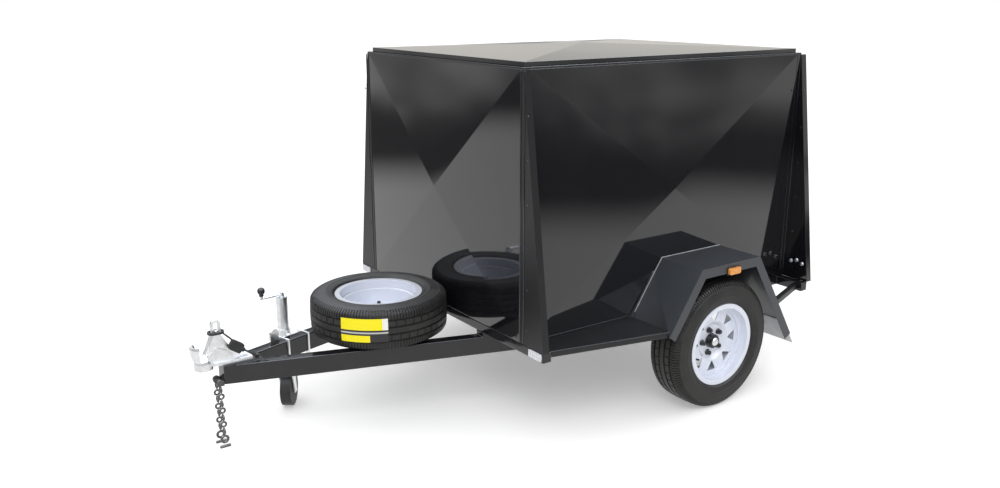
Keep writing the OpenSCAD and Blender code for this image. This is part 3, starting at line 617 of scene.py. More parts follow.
class Bench:
    """Models pieces with the operators that are used by hand."""

    SEED = 0.01
    TUBE_ORDER = 3
    TUBE_STEPS = 6
    TUBE_ROUND = 3

    @staticmethod
    def clear() -> None:
        """Deselects everything."""
        if bpy.context.mode != "OBJECT":
            bpy.ops.object.mode_set(mode="OBJECT")
        bpy.ops.object.select_all(action="DESELECT")

    @classmethod
    def pick(cls, obj: bpy.types.Object) -> None:
        """Selects one object and makes it active."""
        cls.clear()
        obj.select_set(True)
        bpy.context.view_layer.objects.active = obj

    @staticmethod
    def named(name: str) -> bpy.types.Object:
        """The object that was just added, with its name."""
        obj = bpy.context.active_object
        obj.name = name
        return obj

    @classmethod
    def settle(cls, obj: bpy.types.Object, matrix: Matrix | None = None) -> bpy.types.Object:
        """Puts an object's place into its mesh.

        Args:
            obj: The object.
            matrix: Where it goes first, if anywhere.

        Returns:
            The same object, at the origin.
        """
        if matrix is not None:
            obj.matrix_world = matrix @ obj.matrix_world
            bpy.context.view_layer.update()
        cls.pick(obj)
        bpy.ops.object.transform_apply(location=True, rotation=True, scale=True)
        return obj

    @staticmethod
    def rounding(obj: bpy.types.Object, width: float) -> bpy.types.BevelModifier:
        """Adds the modifier that rounds an object's sharp edges.

        Args:
            obj: The object.
            width: Width of the rounding.

        Returns:
            The modifier.
        """
        bevel = obj.modifiers.new("edges", "BEVEL")
        bevel.width, bevel.segments = width, EDGE_STEPS
        bevel.limit_method, bevel.angle_limit = "ANGLE", math.radians(SHARP_ANGLE)
        return bevel

    @classmethod
    def soften(cls, obj: bpy.types.Object, width: float) -> bpy.types.Object:
        """Rounds the sharp edges of a piece.

        Args:
            obj: The piece.
            width: Width of the rounding.

        Returns:
            The same piece.
        """
        cls.pick(obj)
        bpy.ops.object.modifier_apply(modifier=cls.rounding(obj, width).name)
        return obj

    @classmethod
    def block(cls, name: str, low: Point, high: Point, edge: float) -> bpy.types.Object:
        """A rounded block between two corners.

        Args:
            name: The piece's name.
            low: Lowest corner.
            high: Highest corner.
            edge: Rounding of its edges.

        Returns:
            The piece.
        """
        first, last = Vector(low), Vector(high)
        cls.clear()
        bpy.ops.mesh.primitive_cube_add(
            size=1.0, location=(first + last) / 2, scale=last - first)
        return cls.soften(cls.settle(cls.named(name)), edge)

    @classmethod
    def rod(cls, name: str, start: Point, end: Point, radius: float, sides: int,
            edge: float) -> bpy.types.Object:
        """A round or many-sided bar between two points.

        Args:
            name: The piece's name.
            start: Centre of its first end.
            end: Centre of its second end.
            radius: Its radius.
            sides: Its sides.
            edge: Rounding of its rims.

        Returns:
            The piece.
        """
        first, last = Vector(start), Vector(end)
        cls.clear()
        bpy.ops.mesh.primitive_cone_add(
            vertices=sides, radius1=radius, radius2=radius, depth=(last - first).length)
        turn = (last - first).to_track_quat("Z", "Y").to_matrix().to_4x4()
        obj = cls.settle(cls.named(name), Matrix.Translation((first + last) / 2) @ turn)
        return cls.soften(obj, edge)

    @classmethod
    def trace(cls, outline: Sequence[Point]) -> bpy.types.Object:
        """Draws a line of edges, vertex by vertex, and stays in edit mode.

        Args:
            outline: Its points.

        Returns:
            The object.
        """
        cls.clear()
        bpy.ops.mesh.primitive_plane_add(size=cls.SEED, location=outline[0])
        obj = bpy.context.active_object
        bpy.ops.object.transform_apply(location=True, rotation=True, scale=True)
        bpy.ops.object.mode_set(mode="EDIT")
        bpy.ops.mesh.select_all(action="SELECT")
        bpy.ops.mesh.merge(type="CENTER")
        for last, point in zip(outline, outline[1:]):
            step = tuple(b - a for a, b in zip(last, point))
            bpy.ops.mesh.extrude_vertices_move(TRANSFORM_OT_translate={"value": step})
        bpy.ops.mesh.select_all(action="SELECT")
        return obj

    @classmethod
    def lathe(cls, name: str, outline: Sequence[Span], steps: int,
              angle: float = 2 * math.pi) -> bpy.types.Object:
        """Spins an outline of radius and height round Z.

        Args:
            name: The piece's name.
            outline: Radius and height of each point.
            steps: Steps of the spin.
            angle: Angle of the spin, in radians.

        Returns:
            The piece, on the Z axis.
        """
        obj = cls.trace([(r, 0.0, z) for r, z in outline])
        obj.name = name
        bpy.ops.mesh.spin(steps=steps, angle=angle, center=(0, 0, 0), axis=(0, 0, 1))
        bpy.ops.mesh.select_all(action="SELECT")
        bpy.ops.mesh.remove_doubles(threshold=MERGE)
        bpy.ops.mesh.normals_make_consistent(inside=False)
        bpy.ops.object.mode_set(mode="OBJECT")
        return obj

    @classmethod
    def tube(cls, name: str, points: Sequence[Point], radius: float) -> bpy.types.Object:
        """A bent round bar through some points.

        Args:
            name: The piece's name.
            points: Points that it is drawn by.
            radius: Its radius.

        Returns:
            The piece, as a mesh.
        """
        cls.clear()
        bpy.ops.curve.primitive_nurbs_path_add()
        obj = cls.named(name)
        curve = obj.data
        curve.splines.clear()
        spline = curve.splines.new("NURBS")
        spline.points.add(len(points) - 1)
        for knot, point in zip(spline.points, points):
            knot.co = (*point, 1.0)
        spline.order_u, spline.use_endpoint_u = cls.TUBE_ORDER, True
        spline.resolution_u = cls.TUBE_STEPS
        curve.bevel_depth, curve.bevel_resolution = radius, cls.TUBE_ROUND
        curve.use_fill_caps = True
        cls.settle(obj)
        bpy.ops.object.convert(target="MESH")
        return bpy.context.active_object

    @classmethod
    def copy(cls, obj: bpy.types.Object, name: str, matrix: Matrix) -> bpy.types.Object:
        """A copy with its own mesh, moved.

        Args:
            obj: The piece to copy.
            name: The copy's name.
            matrix: Where the copy goes.

        Returns:
            The copy.
        """
        cls.pick(obj)
        bpy.ops.object.duplicate(linked=False)
        return cls.settle(cls.named(name), matrix)

    @classmethod
    def join(cls, name: str, parts: Iterable[bpy.types.Object]) -> bpy.types.Object:
        """Makes one object of several.

        Args:
            name: The joined piece's name.
            parts: The objects.

        Returns:
            The joined piece.
        """
        first, *others = parts
        cls.pick(first)
        for part in others:
            part.select_set(True)
        bpy.ops.object.join()
        return cls.named(name)

    @staticmethod
    def scrap(*models: bpy.types.Object) -> None:
        """Throws away the models that were copied."""
        for model in models:
            bpy.data.objects.remove(model)


class Dresser:
    """Seats finished pieces on their bodies and lays their finish."""

    def __init__(self, shop: Paintshop) -> None:
        """Keeps the finishes."""
        self.shop = shop
        self.count = 0

    def seat(self, obj: bpy.types.Object, body: str, slot: Slot, smooth: float = SHARP_ANGLE,
             stands_for: Sequence[str] = (),
             material: bpy.types.Material | None = None) -> None:
        """Finishes a piece.

        Args:
            obj: The piece.
            body: The body that carries it.
            slot: Its material slot.
            smooth: Angle under which its faces are shaded smooth.
            stands_for: Nodes that it replaces.
            material: A finish of its own.
        """
        obj.data.name = obj.name
        Bench.pick(obj)
        bpy.ops.object.shade_smooth_by_angle(angle=math.radians(smooth))
        self.shop.coat(obj, material or self.shop.pots[slot])
        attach(obj, body)
        if stands_for:
            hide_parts(*stands_for)
        self.count += 1
        LOG.info("%s rides on %s", obj.name, body)


@dataclass
class Solids:
    """The carried-over solids: each gets its finish and eased edges, and keeps its mesh."""

    frame: dict[str, Any]
    sheet_edge: float = 0.0011
    section_edge: float = 0.003
    turned_edge: float = 0.0009
    round_nodes: tuple[str, ...] = (
        "left_rim", "right_rim", "spare_rim", "left_hub", "right_hub", "coupling",
        "coupling_lever", "jockey_tube", "jockey_crank", "jockey_leg", "jockey_fork",
        "jockey_wheel", "jockey_bracket", "spare_carrier", "springs", "plug", "door_hinges")
    section_nodes: tuple[str, ...] = (
        "base_frame", "drawbar", "left_stays", "right_stays", "axle")
    # The mudguards take the enamel whose lifted, bluish colour is painted sheen.
    painted_sheen_nodes: tuple[str, ...] = ("left_guard", "right_guard")
    dull_nodes: tuple[str, ...] = (
        "front_left_wing", "front_right_wing", "left_stays", "right_stays")

    def dress(self, shop: Paintshop) -> None:
        """Lays the finishes and the edge modifiers on every node."""
        parts = self.frame["record"]["subparts"]
        slots = {part["node"]: Slot(part["material_slot"]) for part in parts}
        # Finishes of their own: the mudguards' enamel with painted sheen, and the duller black.
        duller_with_painted_sheen = {**dict.fromkeys(self.painted_sheen_nodes, shop.painted_sheen_enamel),
                  **dict.fromkeys(self.dull_nodes, shop.dull)}
        for name, obj in self.frame["nodes"].items():
            shop.coat(obj, duller_with_painted_sheen.get(name, shop.pots[slots[name]]))
            self.ease(obj, self.kind(name))
            LOG.info("%s is %s", name, slots[name].value)

    def kind(self, name: str) -> Edge:
        """How a node's edges are shown."""
        if name in self.round_nodes:
            return Edge.TURNED
        return Edge.SECTION if name in self.section_nodes else Edge.SHEET

    def ease(self, obj: bpy.types.Object, kind: Edge) -> None:
        """Gives a node's edges a small rounding, by modifiers alone.

        Args:
            obj: The node's object.
            kind: How its edges are shown.
        """
        weld = obj.modifiers.new("weld", "WELD")
        weld.merge_threshold = MERGE
        widths = {Edge.SHEET: self.sheet_edge, Edge.SECTION: self.section_edge,
                  Edge.TURNED: self.turned_edge}
        bevel = Bench.rounding(obj, widths[kind])
        if kind is not Edge.SHEET:
            faces = obj.data.polygons
            faces.foreach_set("use_smooth", [True] * len(faces))
            bevel.harden_normals = True
            normals = obj.modifiers.new("normals", "WEIGHTED_NORMAL")
            normals.keep_sharp = True


@dataclass
class Tyres:
    """Three road tyres, with ribs, shoulder grooves and ringed sidewalls, and a paper band.

    The sidewall's points are given by their drop from the tread's radius and their distance
    from the tyre's middle, and the foot's by radius and distance.
    """

    radius: float = 0.287
    tread_half: float = 0.064
    crown_drop: float = 0.0035
    grooves: tuple[float, ...] = (-0.043, -0.0145, 0.0145, 0.043)
    groove_half: float = 0.0042
    groove_floor: float = 0.6
    groove_depth: float = 0.0065
    sidewall: tuple[Span, ...] = (
        (0.008, 0.0715), (0.017, 0.0780), (0.024, 0.0808), (0.0255, 0.0826), (0.031, 0.0838),
        (0.0325, 0.0830), (0.042, 0.0852), (0.056, 0.0868), (0.066, 0.0872), (0.0672, 0.0880),
        (0.0700, 0.0880), (0.0712, 0.0868), (0.082, 0.0850), (0.090, 0.0822), (0.0915, 0.0834),
        (0.0955, 0.0820), (0.097, 0.0796))
    foot: tuple[Span, ...] = ((0.1842, 0.0750), (0.1842, 0.0690), (0.1685, 0.0680))
    steps: int = 432
    carve_depth: float = 0.0042
    block_every: int = 3
    block_margin: float = 0.001
    block_end: float = 0.0795
    block_drop: float = 0.021
    left_stagger: float = 0.5
    right_stagger: float = 1.0
    slot_every: int = 9
    slot_left: int = 2
    slot_right: int = 6
    slot_drop: float = 0.003
    smooth: float = 28.0
    patch_from: float = 31.0
    patch_to: float = 69.5
    patch_low: float = -0.044
    patch_high: float = 0.053
    patch_proud: float = 0.0006
    patch_thick: float = 0.0004
    patch_rows: int = 6
    patch_steps: int = 48

    def crown(self, z: float) -> float:
        """Radius of the tread at a distance from its middle."""
        return self.radius - self.crown_drop * (z / self.tread_half) ** 2

    def outline(self) -> list[Span]:
        """The tyre's section, as radius and distance across, closed."""
        top: list[Span] = []
        half, depth = self.groove_half, self.groove_depth
        floor = self.groove_floor * half
        for z in self.grooves:
            r = self.crown(z)
            top += [(r, z - half), (r - depth, z - floor), (r - depth, z + floor), (r, z + half)]
        side = [(self.crown(self.tread_half), self.tread_half),
                *((self.radius - drop, z) for drop, z in self.sidewall), *self.foot]
        right = [(r, -z) for r, z in side]
        return [*reversed(right), *top, *side, right[-1]]

    def sunk(self, middle: Vector) -> bool:
        """Whether a face is sunk: a groove between shoulder blocks, or a short slot in a rib.

        Args:
            middle: The face's middle.

        Returns:
            True where it is.
        """
        r, z = math.hypot(middle.x, middle.y), middle.z
        left = z > 0
        turn = math.atan2(middle.y, middle.x) / (2 * math.pi / self.steps)
        stagger = self.left_stagger if left else self.right_stagger
        index = math.floor(turn + stagger) % self.steps
        edge = self.grooves[-1] + self.groove_half
        rib_start, rib_end = self.grooves[-2] + self.groove_half, edge - 2 * self.groove_half
        shoulder = (edge + self.block_margin < abs(z) < self.block_end
                    and r > self.radius - self.block_drop)
        rib = r > self.radius - self.slot_drop and rib_start < abs(z) < rib_end
        phase = self.slot_left if left else self.slot_right
        return (shoulder and index % self.block_every == 0) or (
            rib and index % self.slot_every == phase)

    def carve(self, obj: bpy.types.Object) -> None:
        """Sinks the shoulder blocks' grooves and the ribs' short slots."""
        Bench.pick(obj)
        bpy.ops.object.mode_set(mode="EDIT")
        bpy.ops.mesh.select_all(action="DESELECT")
        bpy.ops.object.mode_set(mode="OBJECT")
        for face in obj.data.polygons:
            face.select = self.sunk(face.center)
        bpy.ops.object.mode_set(mode="EDIT")
        bpy.ops.mesh.select_mode(type="FACE")
        bpy.ops.mesh.extrude_region_shrink_fatten(
            TRANSFORM_OT_shrink_fatten={"value": -self.carve_depth})
        bpy.ops.mesh.select_mode(type="VERT")
        bpy.ops.object.mode_set(mode="OBJECT")

    def build(self, dresser: Dresser, boxes: dict[str, Box]) -> None:
        """Models one tyre, copies it to the wheels and the spare, and lays the paper band.

        Args:
            dresser: Seats the pieces.
            boxes: Boxes of the three tyre nodes.
        """
        model = Bench.lathe("tyre_model", self.outline(), self.steps)
        self.carve(model)
        turns = {"left": -QUARTER, "right": QUARTER, "spare": 0.0}
        for which, turn in turns.items():
            low, high = boxes[f"{which}_tyre"]
            seat = Matrix.Translation((low + high) / 2) @ Matrix.Rotation(turn, 4, "X")
            tyre = Bench.copy(model, f"{which}_road_tyre", seat)
            body = "chassis" if which == "spare" else f"{which}_wheel"
            dresser.seat(tyre, body, Slot.TYRE, self.smooth, [f"{which}_tyre"])
        Bench.scrap(model)
        self.band(dresser, boxes["spare_tyre"])

    def band(self, dresser: Dresser, box: Box) -> None:
        """Lays the paper band on the spare's tread.

        Args:
            dresser: Seats the piece.
            box: Box of the spare tyre.
        """
        height = self.patch_high - self.patch_low
        levels = [self.patch_low + i * height / self.patch_rows
                  for i in range(self.patch_rows + 1)]
        line = [(self.crown(z) + self.patch_proud, z) for z in levels]
        back = [(r - self.patch_thick, z) for r, z in reversed(line)]
        band = Bench.lathe("spare_paper_band", [*line, *back, line[0]], self.patch_steps,
                           math.radians(self.patch_to - self.patch_from))
        low, high = box
        Bench.settle(band, Matrix.Translation((low + high) / 2)
                     @ Matrix.Rotation(math.radians(self.patch_to), 4, "Z"))
        dresser.seat(band, "chassis", Slot.TYRE, material=dresser.shop.wrap)


@dataclass
class WheelTrim:
    """Wheel nuts, dust caps and tyre valves; outlines are radius and height."""

    studs: int = 5
    pitch_radius: float = 0.054
    face: float = 0.010
    nut_radius: float = 0.0112
    nut_height: float = 0.0165
    nut_sides: int = 6
    nut_edge: float = 0.0012
    collar: tuple[Span, ...] = (
        (0.0, -0.001), (0.0135, -0.001), (0.0135, 0.0025), (0.0105, 0.005), (0.0, 0.005))
    collar_steps: int = 24
    tip: tuple[Span, ...] = (
        (0.0, 0.0), (0.0058, 0.0), (0.0058, 0.004), (0.0048, 0.005), (0.0, 0.005))
    tip_steps: int = 20
    cap: tuple[Span, ...] = (
        (0.0, 0.0445), (0.009, 0.0440), (0.0140, 0.0425), (0.0165, 0.0400), (0.0175, 0.0385),
        (0.0185, 0.0375), (0.0205, 0.0375), (0.0205, 0.0360), (0.0, 0.0360))
    cap_steps: int = 48
    stem: tuple[Span, ...] = (
        (0.0, 0.046), (0.0032, 0.046), (0.0042, 0.045), (0.0042, 0.030), (0.0036, 0.029),
        (0.0055, 0.020), (0.0070, 0.006), (0.0, 0.006))
    stem_steps: int = 20
    stem_foot: Point = (0.138, 0.0, 0.012)
    stem_lean: float = -14.0
    stem_turn_radians: float = 0.4

    def nut(self) -> bpy.types.Object:
        """One wheel nut on the Z axis, with its collar and the stud's tip."""
        end = self.face + self.nut_height
        body = Bench.rod("nut", (0, 0, self.face), (0, 0, end), self.nut_radius,
                         self.nut_sides, self.nut_edge)
        collar = Bench.lathe(
            "collar", [(r, self.face + z) for r, z in self.collar], self.collar_steps)
        tip = Bench.lathe("stud_tip", [(r, end + z) for r, z in self.tip], self.tip_steps)
        return Bench.join("wheel_nut", [body, collar, tip])

    def build(self, dresser: Dresser, boxes: dict[str, Box]) -> None:
        """Sets the nuts, caps and valves of both wheels.

        Args:
            dresser: Seats the pieces.
            boxes: Boxes of the tyre nodes.
        """
        nut = self.nut()
        out = Matrix.Translation((self.pitch_radius, 0, 0))
        ring = [Bench.copy(nut, f"nut_{i}",
                           Matrix.Rotation(2 * math.pi * i / self.studs, 4, "Z") @ out)
                for i in range(self.studs)]
        Bench.scrap(nut)
        nuts = Bench.join("nuts_model", ring)
        cap = Bench.lathe("cap_model", self.cap, self.cap_steps)
        stem = Bench.lathe("valve_model", self.stem, self.stem_steps)
        Bench.settle(stem, Matrix.Translation(self.stem_foot)
                     @ Matrix.Rotation(math.radians(self.stem_lean), 4, "Y"))
        stem_turn = Matrix.Rotation(self.stem_turn_radians, 4, "Z")
        for side in Side:
            which = side.name.lower()
            low, high = boxes[f"{which}_tyre"]
            seat = (Matrix.Translation((low + high) / 2)
                    @ Matrix.Rotation(-side.value * QUARTER, 4, "X"))
            for model, piece, place, slot in (
                    (nuts, "wheel_nuts", seat, Slot.HUB), (cap, "dust_cap", seat, Slot.ZINC),
                    (stem, "valve", seat @ stem_turn, Slot.PLUG)):
                dresser.seat(
                    Bench.copy(model, f"{which}_{piece}", place), f"{which}_wheel", slot)
        Bench.scrap(nuts, cap, stem)


@dataclass
class Fasteners:
    """Rivets, bolts and seams on the wings, and bolts on the coupling's foot."""

    rivet_radius: float = 0.0042
    rivet_height: float = 0.0018
    rivet_dome: tuple[Span, ...] = ((0.0, 1.0), (0.45, 0.9), (0.8, 0.6), (1.0, 0.15))
    rivet_steps: int = 14
    rivet_start: float = 0.06
    rivet_pitch: float = 0.165
    rivet_count: int = 6
    rivet_inset: float = 0.058
    sunk: float = -0.0004
    bolt_radius: float = 0.0075
    bolt_levels: Span = (0.0015, 0.0070)
    bolt_sides: int = 6
    bolt_edge: float = 0.0008
    washer_radii: Span = (1.28, 1.32)
    washer_levels: Span = (0.0012, 0.0018)
    washer_steps: int = 24
    lamp_bolts: tuple[Span, ...] = ((0.653, 0.513), (0.684, 0.523), (0.716, 0.511))
    lamp_plate: float = 0.022
    foot_bolts: tuple[Span, ...] = (
        (0.030, 0.030), (0.030, -0.030), (0.090, 0.030), (0.090, -0.030))
    foot_level: float = 0.018
    seams: tuple[float, ...] = (0.600, 0.622)
    seam_ends: Span = (0.002, 0.004)
    seam_radius: float = 0.0022
    seam_sides: int = 12
    seam_edge: float = 0.0005

    def rivet(self) -> bpy.types.Object:
        """One domed rivet standing on Z = 0."""
        radius, height = self.rivet_radius, self.rivet_height
        dome = [(r * radius, h * height) for r, h in self.rivet_dome]
        return Bench.lathe(
            "rivet", [*dome, (radius, self.sunk), (0.0, self.sunk)], self.rivet_steps)

    def bolt(self) -> bpy.types.Object:
        """One hexagon bolt head with its washer, standing on Z = 0."""
        foot, top = self.bolt_levels
        head = Bench.rod("head", (0, 0, foot), (0, 0, top), self.bolt_radius,
                         self.bolt_sides, self.bolt_edge)
        inner, outer = (share * self.bolt_radius for share in self.washer_radii)
        rim, crown = self.washer_levels
        washer = Bench.lathe("washer", [
            (0.0, crown), (inner, crown), (outer, rim), (outer, self.sunk), (0.0, self.sunk)],
            self.washer_steps)
        return Bench.join("bolt", [head, washer])

    @staticmethod
    def row(model: bpy.types.Object, name: str, places: Sequence[Point],
            normal: Point = (1, 0, 0)) -> bpy.types.Object:
        """Copies one fastener to each place.

        Args:
            model: The fastener.
            name: The row's name.
            places: Where they stand.
            normal: The way they face.

        Returns:
            The row as one piece.
        """
        turn = Vector(normal).to_track_quat("Z", "Y").to_matrix().to_4x4()
        return Bench.join(name, [
            Bench.copy(model, f"{name}_{i}", Matrix.Translation(place) @ turn)
            for i, place in enumerate(places)])

    def welds(self, side: Side, wing: Box) -> bpy.types.Object:
        """The upright seams on one front wing.

        Args:
            side: The wing's side.
            wing: Box of the left wing.

        Returns:
            The seams as one piece.
        """
        low, high = wing
        which, (foot, top) = side.name.lower(), self.seam_ends
        return Bench.join(f"front_{which}_wing_seams", [
            Bench.rod(f"{which}_seam_{i}", (high.x, side.value * at, low.z + foot),
                      (high.x, side.value * at, high.z - top), self.seam_radius,
                      self.seam_sides, self.seam_edge) for i, at in enumerate(self.seams)])

    def build(self, dresser: Dresser) -> None:
        """Sets every row."""
        rivet, bolt = self.rivet(), self.bolt()
        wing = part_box("front_left_wing")
        front, plate = wing[1].x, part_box("rear_left_wing")[1].x - self.lamp_plate
        levels = [wing[0].z + self.rivet_start + self.rivet_pitch * i
                  for i in range(self.rivet_count)]
        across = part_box("left_panel")[0].y + self.rivet_inset
        for side in Side:
            which, sign = side.name.lower(), side.value
            y = sign * across
            front_rivets = self.row(rivet, f"front_{which}_wing_rivets",
                                    [(front, y, z) for z in levels])
            dresser.seat(front_rivets, "chassis", Slot.BODY)
            rear_rivets = self.row(rivet, f"rear_{which}_wing_rivets",
                                   [(plate, y, z) for z in levels[1:]])
            dresser.seat(rear_rivets, "chassis", Slot.BODY)
            dresser.seat(self.welds(side, wing), "chassis", Slot.BODY)
            lamp_bolts = self.row(bolt, f"{which}_lamp_bolts",
                                  [(plate, sign * at, z) for at, z in self.lamp_bolts])
            dresser.seat(lamp_bolts, "chassis", Slot.ZINC)
        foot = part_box("coupling")[0]
        places = [(foot.x + along, side_step, foot.z + self.foot_level)
                  for along, side_step in self.foot_bolts]
        dresser.seat(self.row(bolt, "coupling_bolts", places, (0, 0, 1)), "chassis", Slot.ZINC)
        Bench.scrap(rivet, bolt)


@dataclass
class Guards:
    """A light grey bead where the mudguards meet the side panels, as a painted highlight of the
    folded edge, and the marker lamps' bases.
    """

    line: tuple[Span, ...] = (
        (-0.335, 0.441), (-0.480, 0.658), (-0.835, 0.658), (-0.970, 0.441))
    steps: int = 9
    upstand: float = 0.006
    bead: float = 0.0022
    bead_proud: float = 0.5
    outside: float = 1.0
    base_margin: float = 0.003
    base_levels: Span = (-0.001, 0.003)
    base_edge: float = 0.0012

    def path(self, panel: bpy.types.Object, edge: float) -> list[Point]:
        """Points of the bead on the left guard.

        Args:
            panel: The left side panel.
            edge: Y of the guard's inner edge.

        Returns:
            The points, from front to rear.
        """
        points: list[Point] = []
        for (x0, z0), (x1, z1) in zip(self.line, self.line[1:]):
            for i in range(self.steps):
                share = i / (self.steps - 1)
                x, z = x0 + share * (x1 - x0), z0 + share * (z1 - z0)
                hit, place, *_ = panel.ray_cast(Vector((x, self.outside, z)), Vector((0, -1, 0)))
                face = max(edge + self.upstand, place.y if hit else edge)
                points.append((x, face + self.bead_proud * self.bead, z))
        return points

    def build(self, dresser: Dresser, nodes: dict[str, bpy.types.Object]) -> None:
        """Lays both beads and sets both lamp bases.

        Args:
            dresser: Seats the pieces.
            nodes: The carried-over nodes.
        """
        guard_low, guard_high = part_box("left_guard")
        points = self.path(nodes["left_panel"], guard_low.y)
        lamp_low, lamp_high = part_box("marker_lamps")
        margin = self.base_margin
        for side in Side:
            which, sign = side.name.lower(), side.value
            # A light grey bead on the guard's inner edge, as a painted highlight of the fold.
            bead = Bench.tube(f"{which}_guard_sealant",
                              [(x, sign * y, z) for x, y, z in points], self.bead)
            dresser.seat(bead, "chassis", Slot.BODY, material=dresser.shop.painted_highlight)
            low, high = sorted(sign * (guard_high.y + level) for level in self.base_levels)
            base = Bench.block(
                f"{which}_marker_base", (lamp_low.x - margin, low, lamp_low.z - margin),
                (lamp_high.x + margin, high, lamp_high.z + margin), self.base_edge)
            dresser.seat(base, "chassis", Slot.PLUG)


@dataclass
class Controls:
    """The crank's knob, the latch's lock and the rubber between the doors.

    Corners are given as steps: the keyway's from the middle of the lock's face, and the seal's
    from the foot and the top of the left door's free edge.
    """

    knob: tuple[Span, ...] = (
        (0.0, 0.0484), (0.006, 0.0482), (0.0104, 0.0464), (0.0140, 0.0415), (0.0154, 0.0382),
        (0.0154, 0.0278), (0.0120, 0.0225), (0.0094, 0.0196), (0.0094, 0.0107), (0.0, 0.0107))
    knob_steps: int = 32
    knob_step: Point = (-0.015, -0.015, -0.048)
    lock_level: float = 0.022
    lock_radius: float = 0.008
    lock_sides: int = 32
    edge: float = 0.001
    keyway_low: Point = (-0.0006, -0.001, -0.0045)
    keyway_high: Point = (0.001, 0.001, 0.0045)
    keyway_edge: float = 0.0003
    seal_low: Point = (-0.020, -0.0025, 0.004)
    seal_high: Point = (-0.004, 0.001, -0.004)

    def build(self, dresser: Dresser) -> None:
        """Sets every piece."""
        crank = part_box("jockey_crank")[1]
        knob = Bench.lathe("crank_knob", self.knob, self.knob_steps)
        Bench.settle(knob, Matrix.Translation(shift(tuple(crank), self.knob_step)))
        dresser.seat(knob, "jockey_arm", Slot.PLUG)
        low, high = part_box("door_latch")
        y, z = (low.y + high.y) / 2, low.z + self.lock_level
        face = (low.x, y, z)
        barrel = Bench.rod("latch_lock", (high.x, y, z), face, self.lock_radius,
                           self.lock_sides, self.edge)
        keyway = Bench.block("latch_keyway", shift(face, self.keyway_low),
                             shift(face, self.keyway_high), self.keyway_edge)
        dresser.seat(barrel, "door_left", Slot.ZINC)
        dresser.seat(keyway, "door_left", Slot.PLUG)
        low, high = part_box("left_door")
        seal = Bench.block("door_seal", shift((high.x, low.y, low.z), self.seal_low),
                           shift((high.x, low.y, high.z), self.seal_high), self.edge)
        dresser.seat(seal, "door_left", Slot.ROLLER)


@dataclass
class Chains:
    """Two safety chains of round-bar links, each with a bow shackle, on tabs at the nose.

    The tab's lowest and highest corners are given from the top of the first link's hole.
    """

    bar: float = 0.004
    inner_length: float = 0.030
    inner_width: float = 0.0112
    count: int = 8
    slack: float = 0.001
    ring_steps: int = 24
    bar_steps: int = 12
    bow_bar: float = 0.005
    bow_width: float = 0.036
    bow_height: float = 0.058
    pin_radius: float = 0.006
    pin_half: float = 0.0205
    pin_sides: int = 20
    edge: float = 0.0012
    tab_low: Point = (-0.016, -0.005, -0.021)
    tab_high: Point = (0.010, 0.005, 0.0)
    smooth: float = 50.0

    def link(self, name: str, bar: float, width: float, length: float) -> bpy.types.Object:
        """One oval ring of round bar, long in Z and flat in X, about the origin.

        Args:
            name: The ring's name.
            bar: Radius of its bar.
            width: Width inside.
            length: Length inside.

        Returns:
            The ring.
        """
        Bench.clear()
        bpy.ops.mesh.primitive_torus_add(
            major_segments=self.ring_steps, minor_segments=self.bar_steps,
            major_radius=width / 2 + bar, minor_radius=bar, rotation=(0, QUARTER, 0))
        obj = Bench.settle(Bench.named(name))
        stretch = (length - width) / 2
        for vertex in obj.data.vertices:
            vertex.select = vertex.co.z > MERGE
        Bench.pick(obj)
        bpy.ops.object.mode_set(mode="EDIT")
        bpy.ops.transform.translate(value=(0, 0, stretch))
        bpy.ops.mesh.select_all(action="INVERT")
        bpy.ops.transform.translate(value=(0, 0, -stretch))
        bpy.ops.object.mode_set(mode="OBJECT")
        return obj

    def shackle(self) -> bpy.types.Object:
        """One bow shackle with its screwed pin, hung from the origin's level and wide in X."""
        bars = 4 * self.bow_bar
        bow = self.link("bow", self.bow_bar, self.bow_width - bars, self.bow_height - bars)
        Bench.settle(bow, Matrix.Translation((0, 0, -self.bow_height / 2))
                     @ Matrix.Rotation(QUARTER, 4, "Z"))
        level = -self.bow_height + 2 * self.bow_bar
        pin = Bench.rod("pin", (-self.pin_half, 0, level), (self.pin_half, 0, level),
                        self.pin_radius, self.pin_sides, self.edge)
        return Bench.join("shackle_model", [bow, pin])

    def build(self, dresser: Dresser) -> None:
        """Hangs both chains where the solids hang."""
        link = self.link("link_model", self.bar, self.inner_width, self.inner_length)
        shackle = self.shackle()
        pitch = self.inner_length - self.slack
        for side in Side:
            which = side.name.lower()
            low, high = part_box(f"{which}_chain")
            x, y = (low.x + high.x) / 2, (low.y + high.y) / 2
            top = high.z - self.inner_length / 2 - 2 * self.bar
            parts = [
                Bench.copy(link, f"{which}_link_{i}", Matrix.Translation((x, y, top - i * pitch))
                           @ Matrix.Rotation(QUARTER * ((self.count - 1 - i) % 2), 4, "Z"))
                for i in range(self.count)]
            parts.append(Bench.copy(shackle, f"{which}_shackle",
                                    Matrix.Translation((x, y, low.z + self.bow_height))))
            hole = (x, y, top + self.inner_length / 2 + self.slack)
            parts.append(Bench.block(f"{which}_tab", shift(hole, self.tab_low),
                                     shift(hole, self.tab_high), self.edge))
            chain = Bench.join(f"{which}_safety_chain", parts)
            dresser.seat(chain, "chassis", Slot.CHAIN, self.smooth, [f"{which}_chain"])
        Bench.scrap(link, shackle)


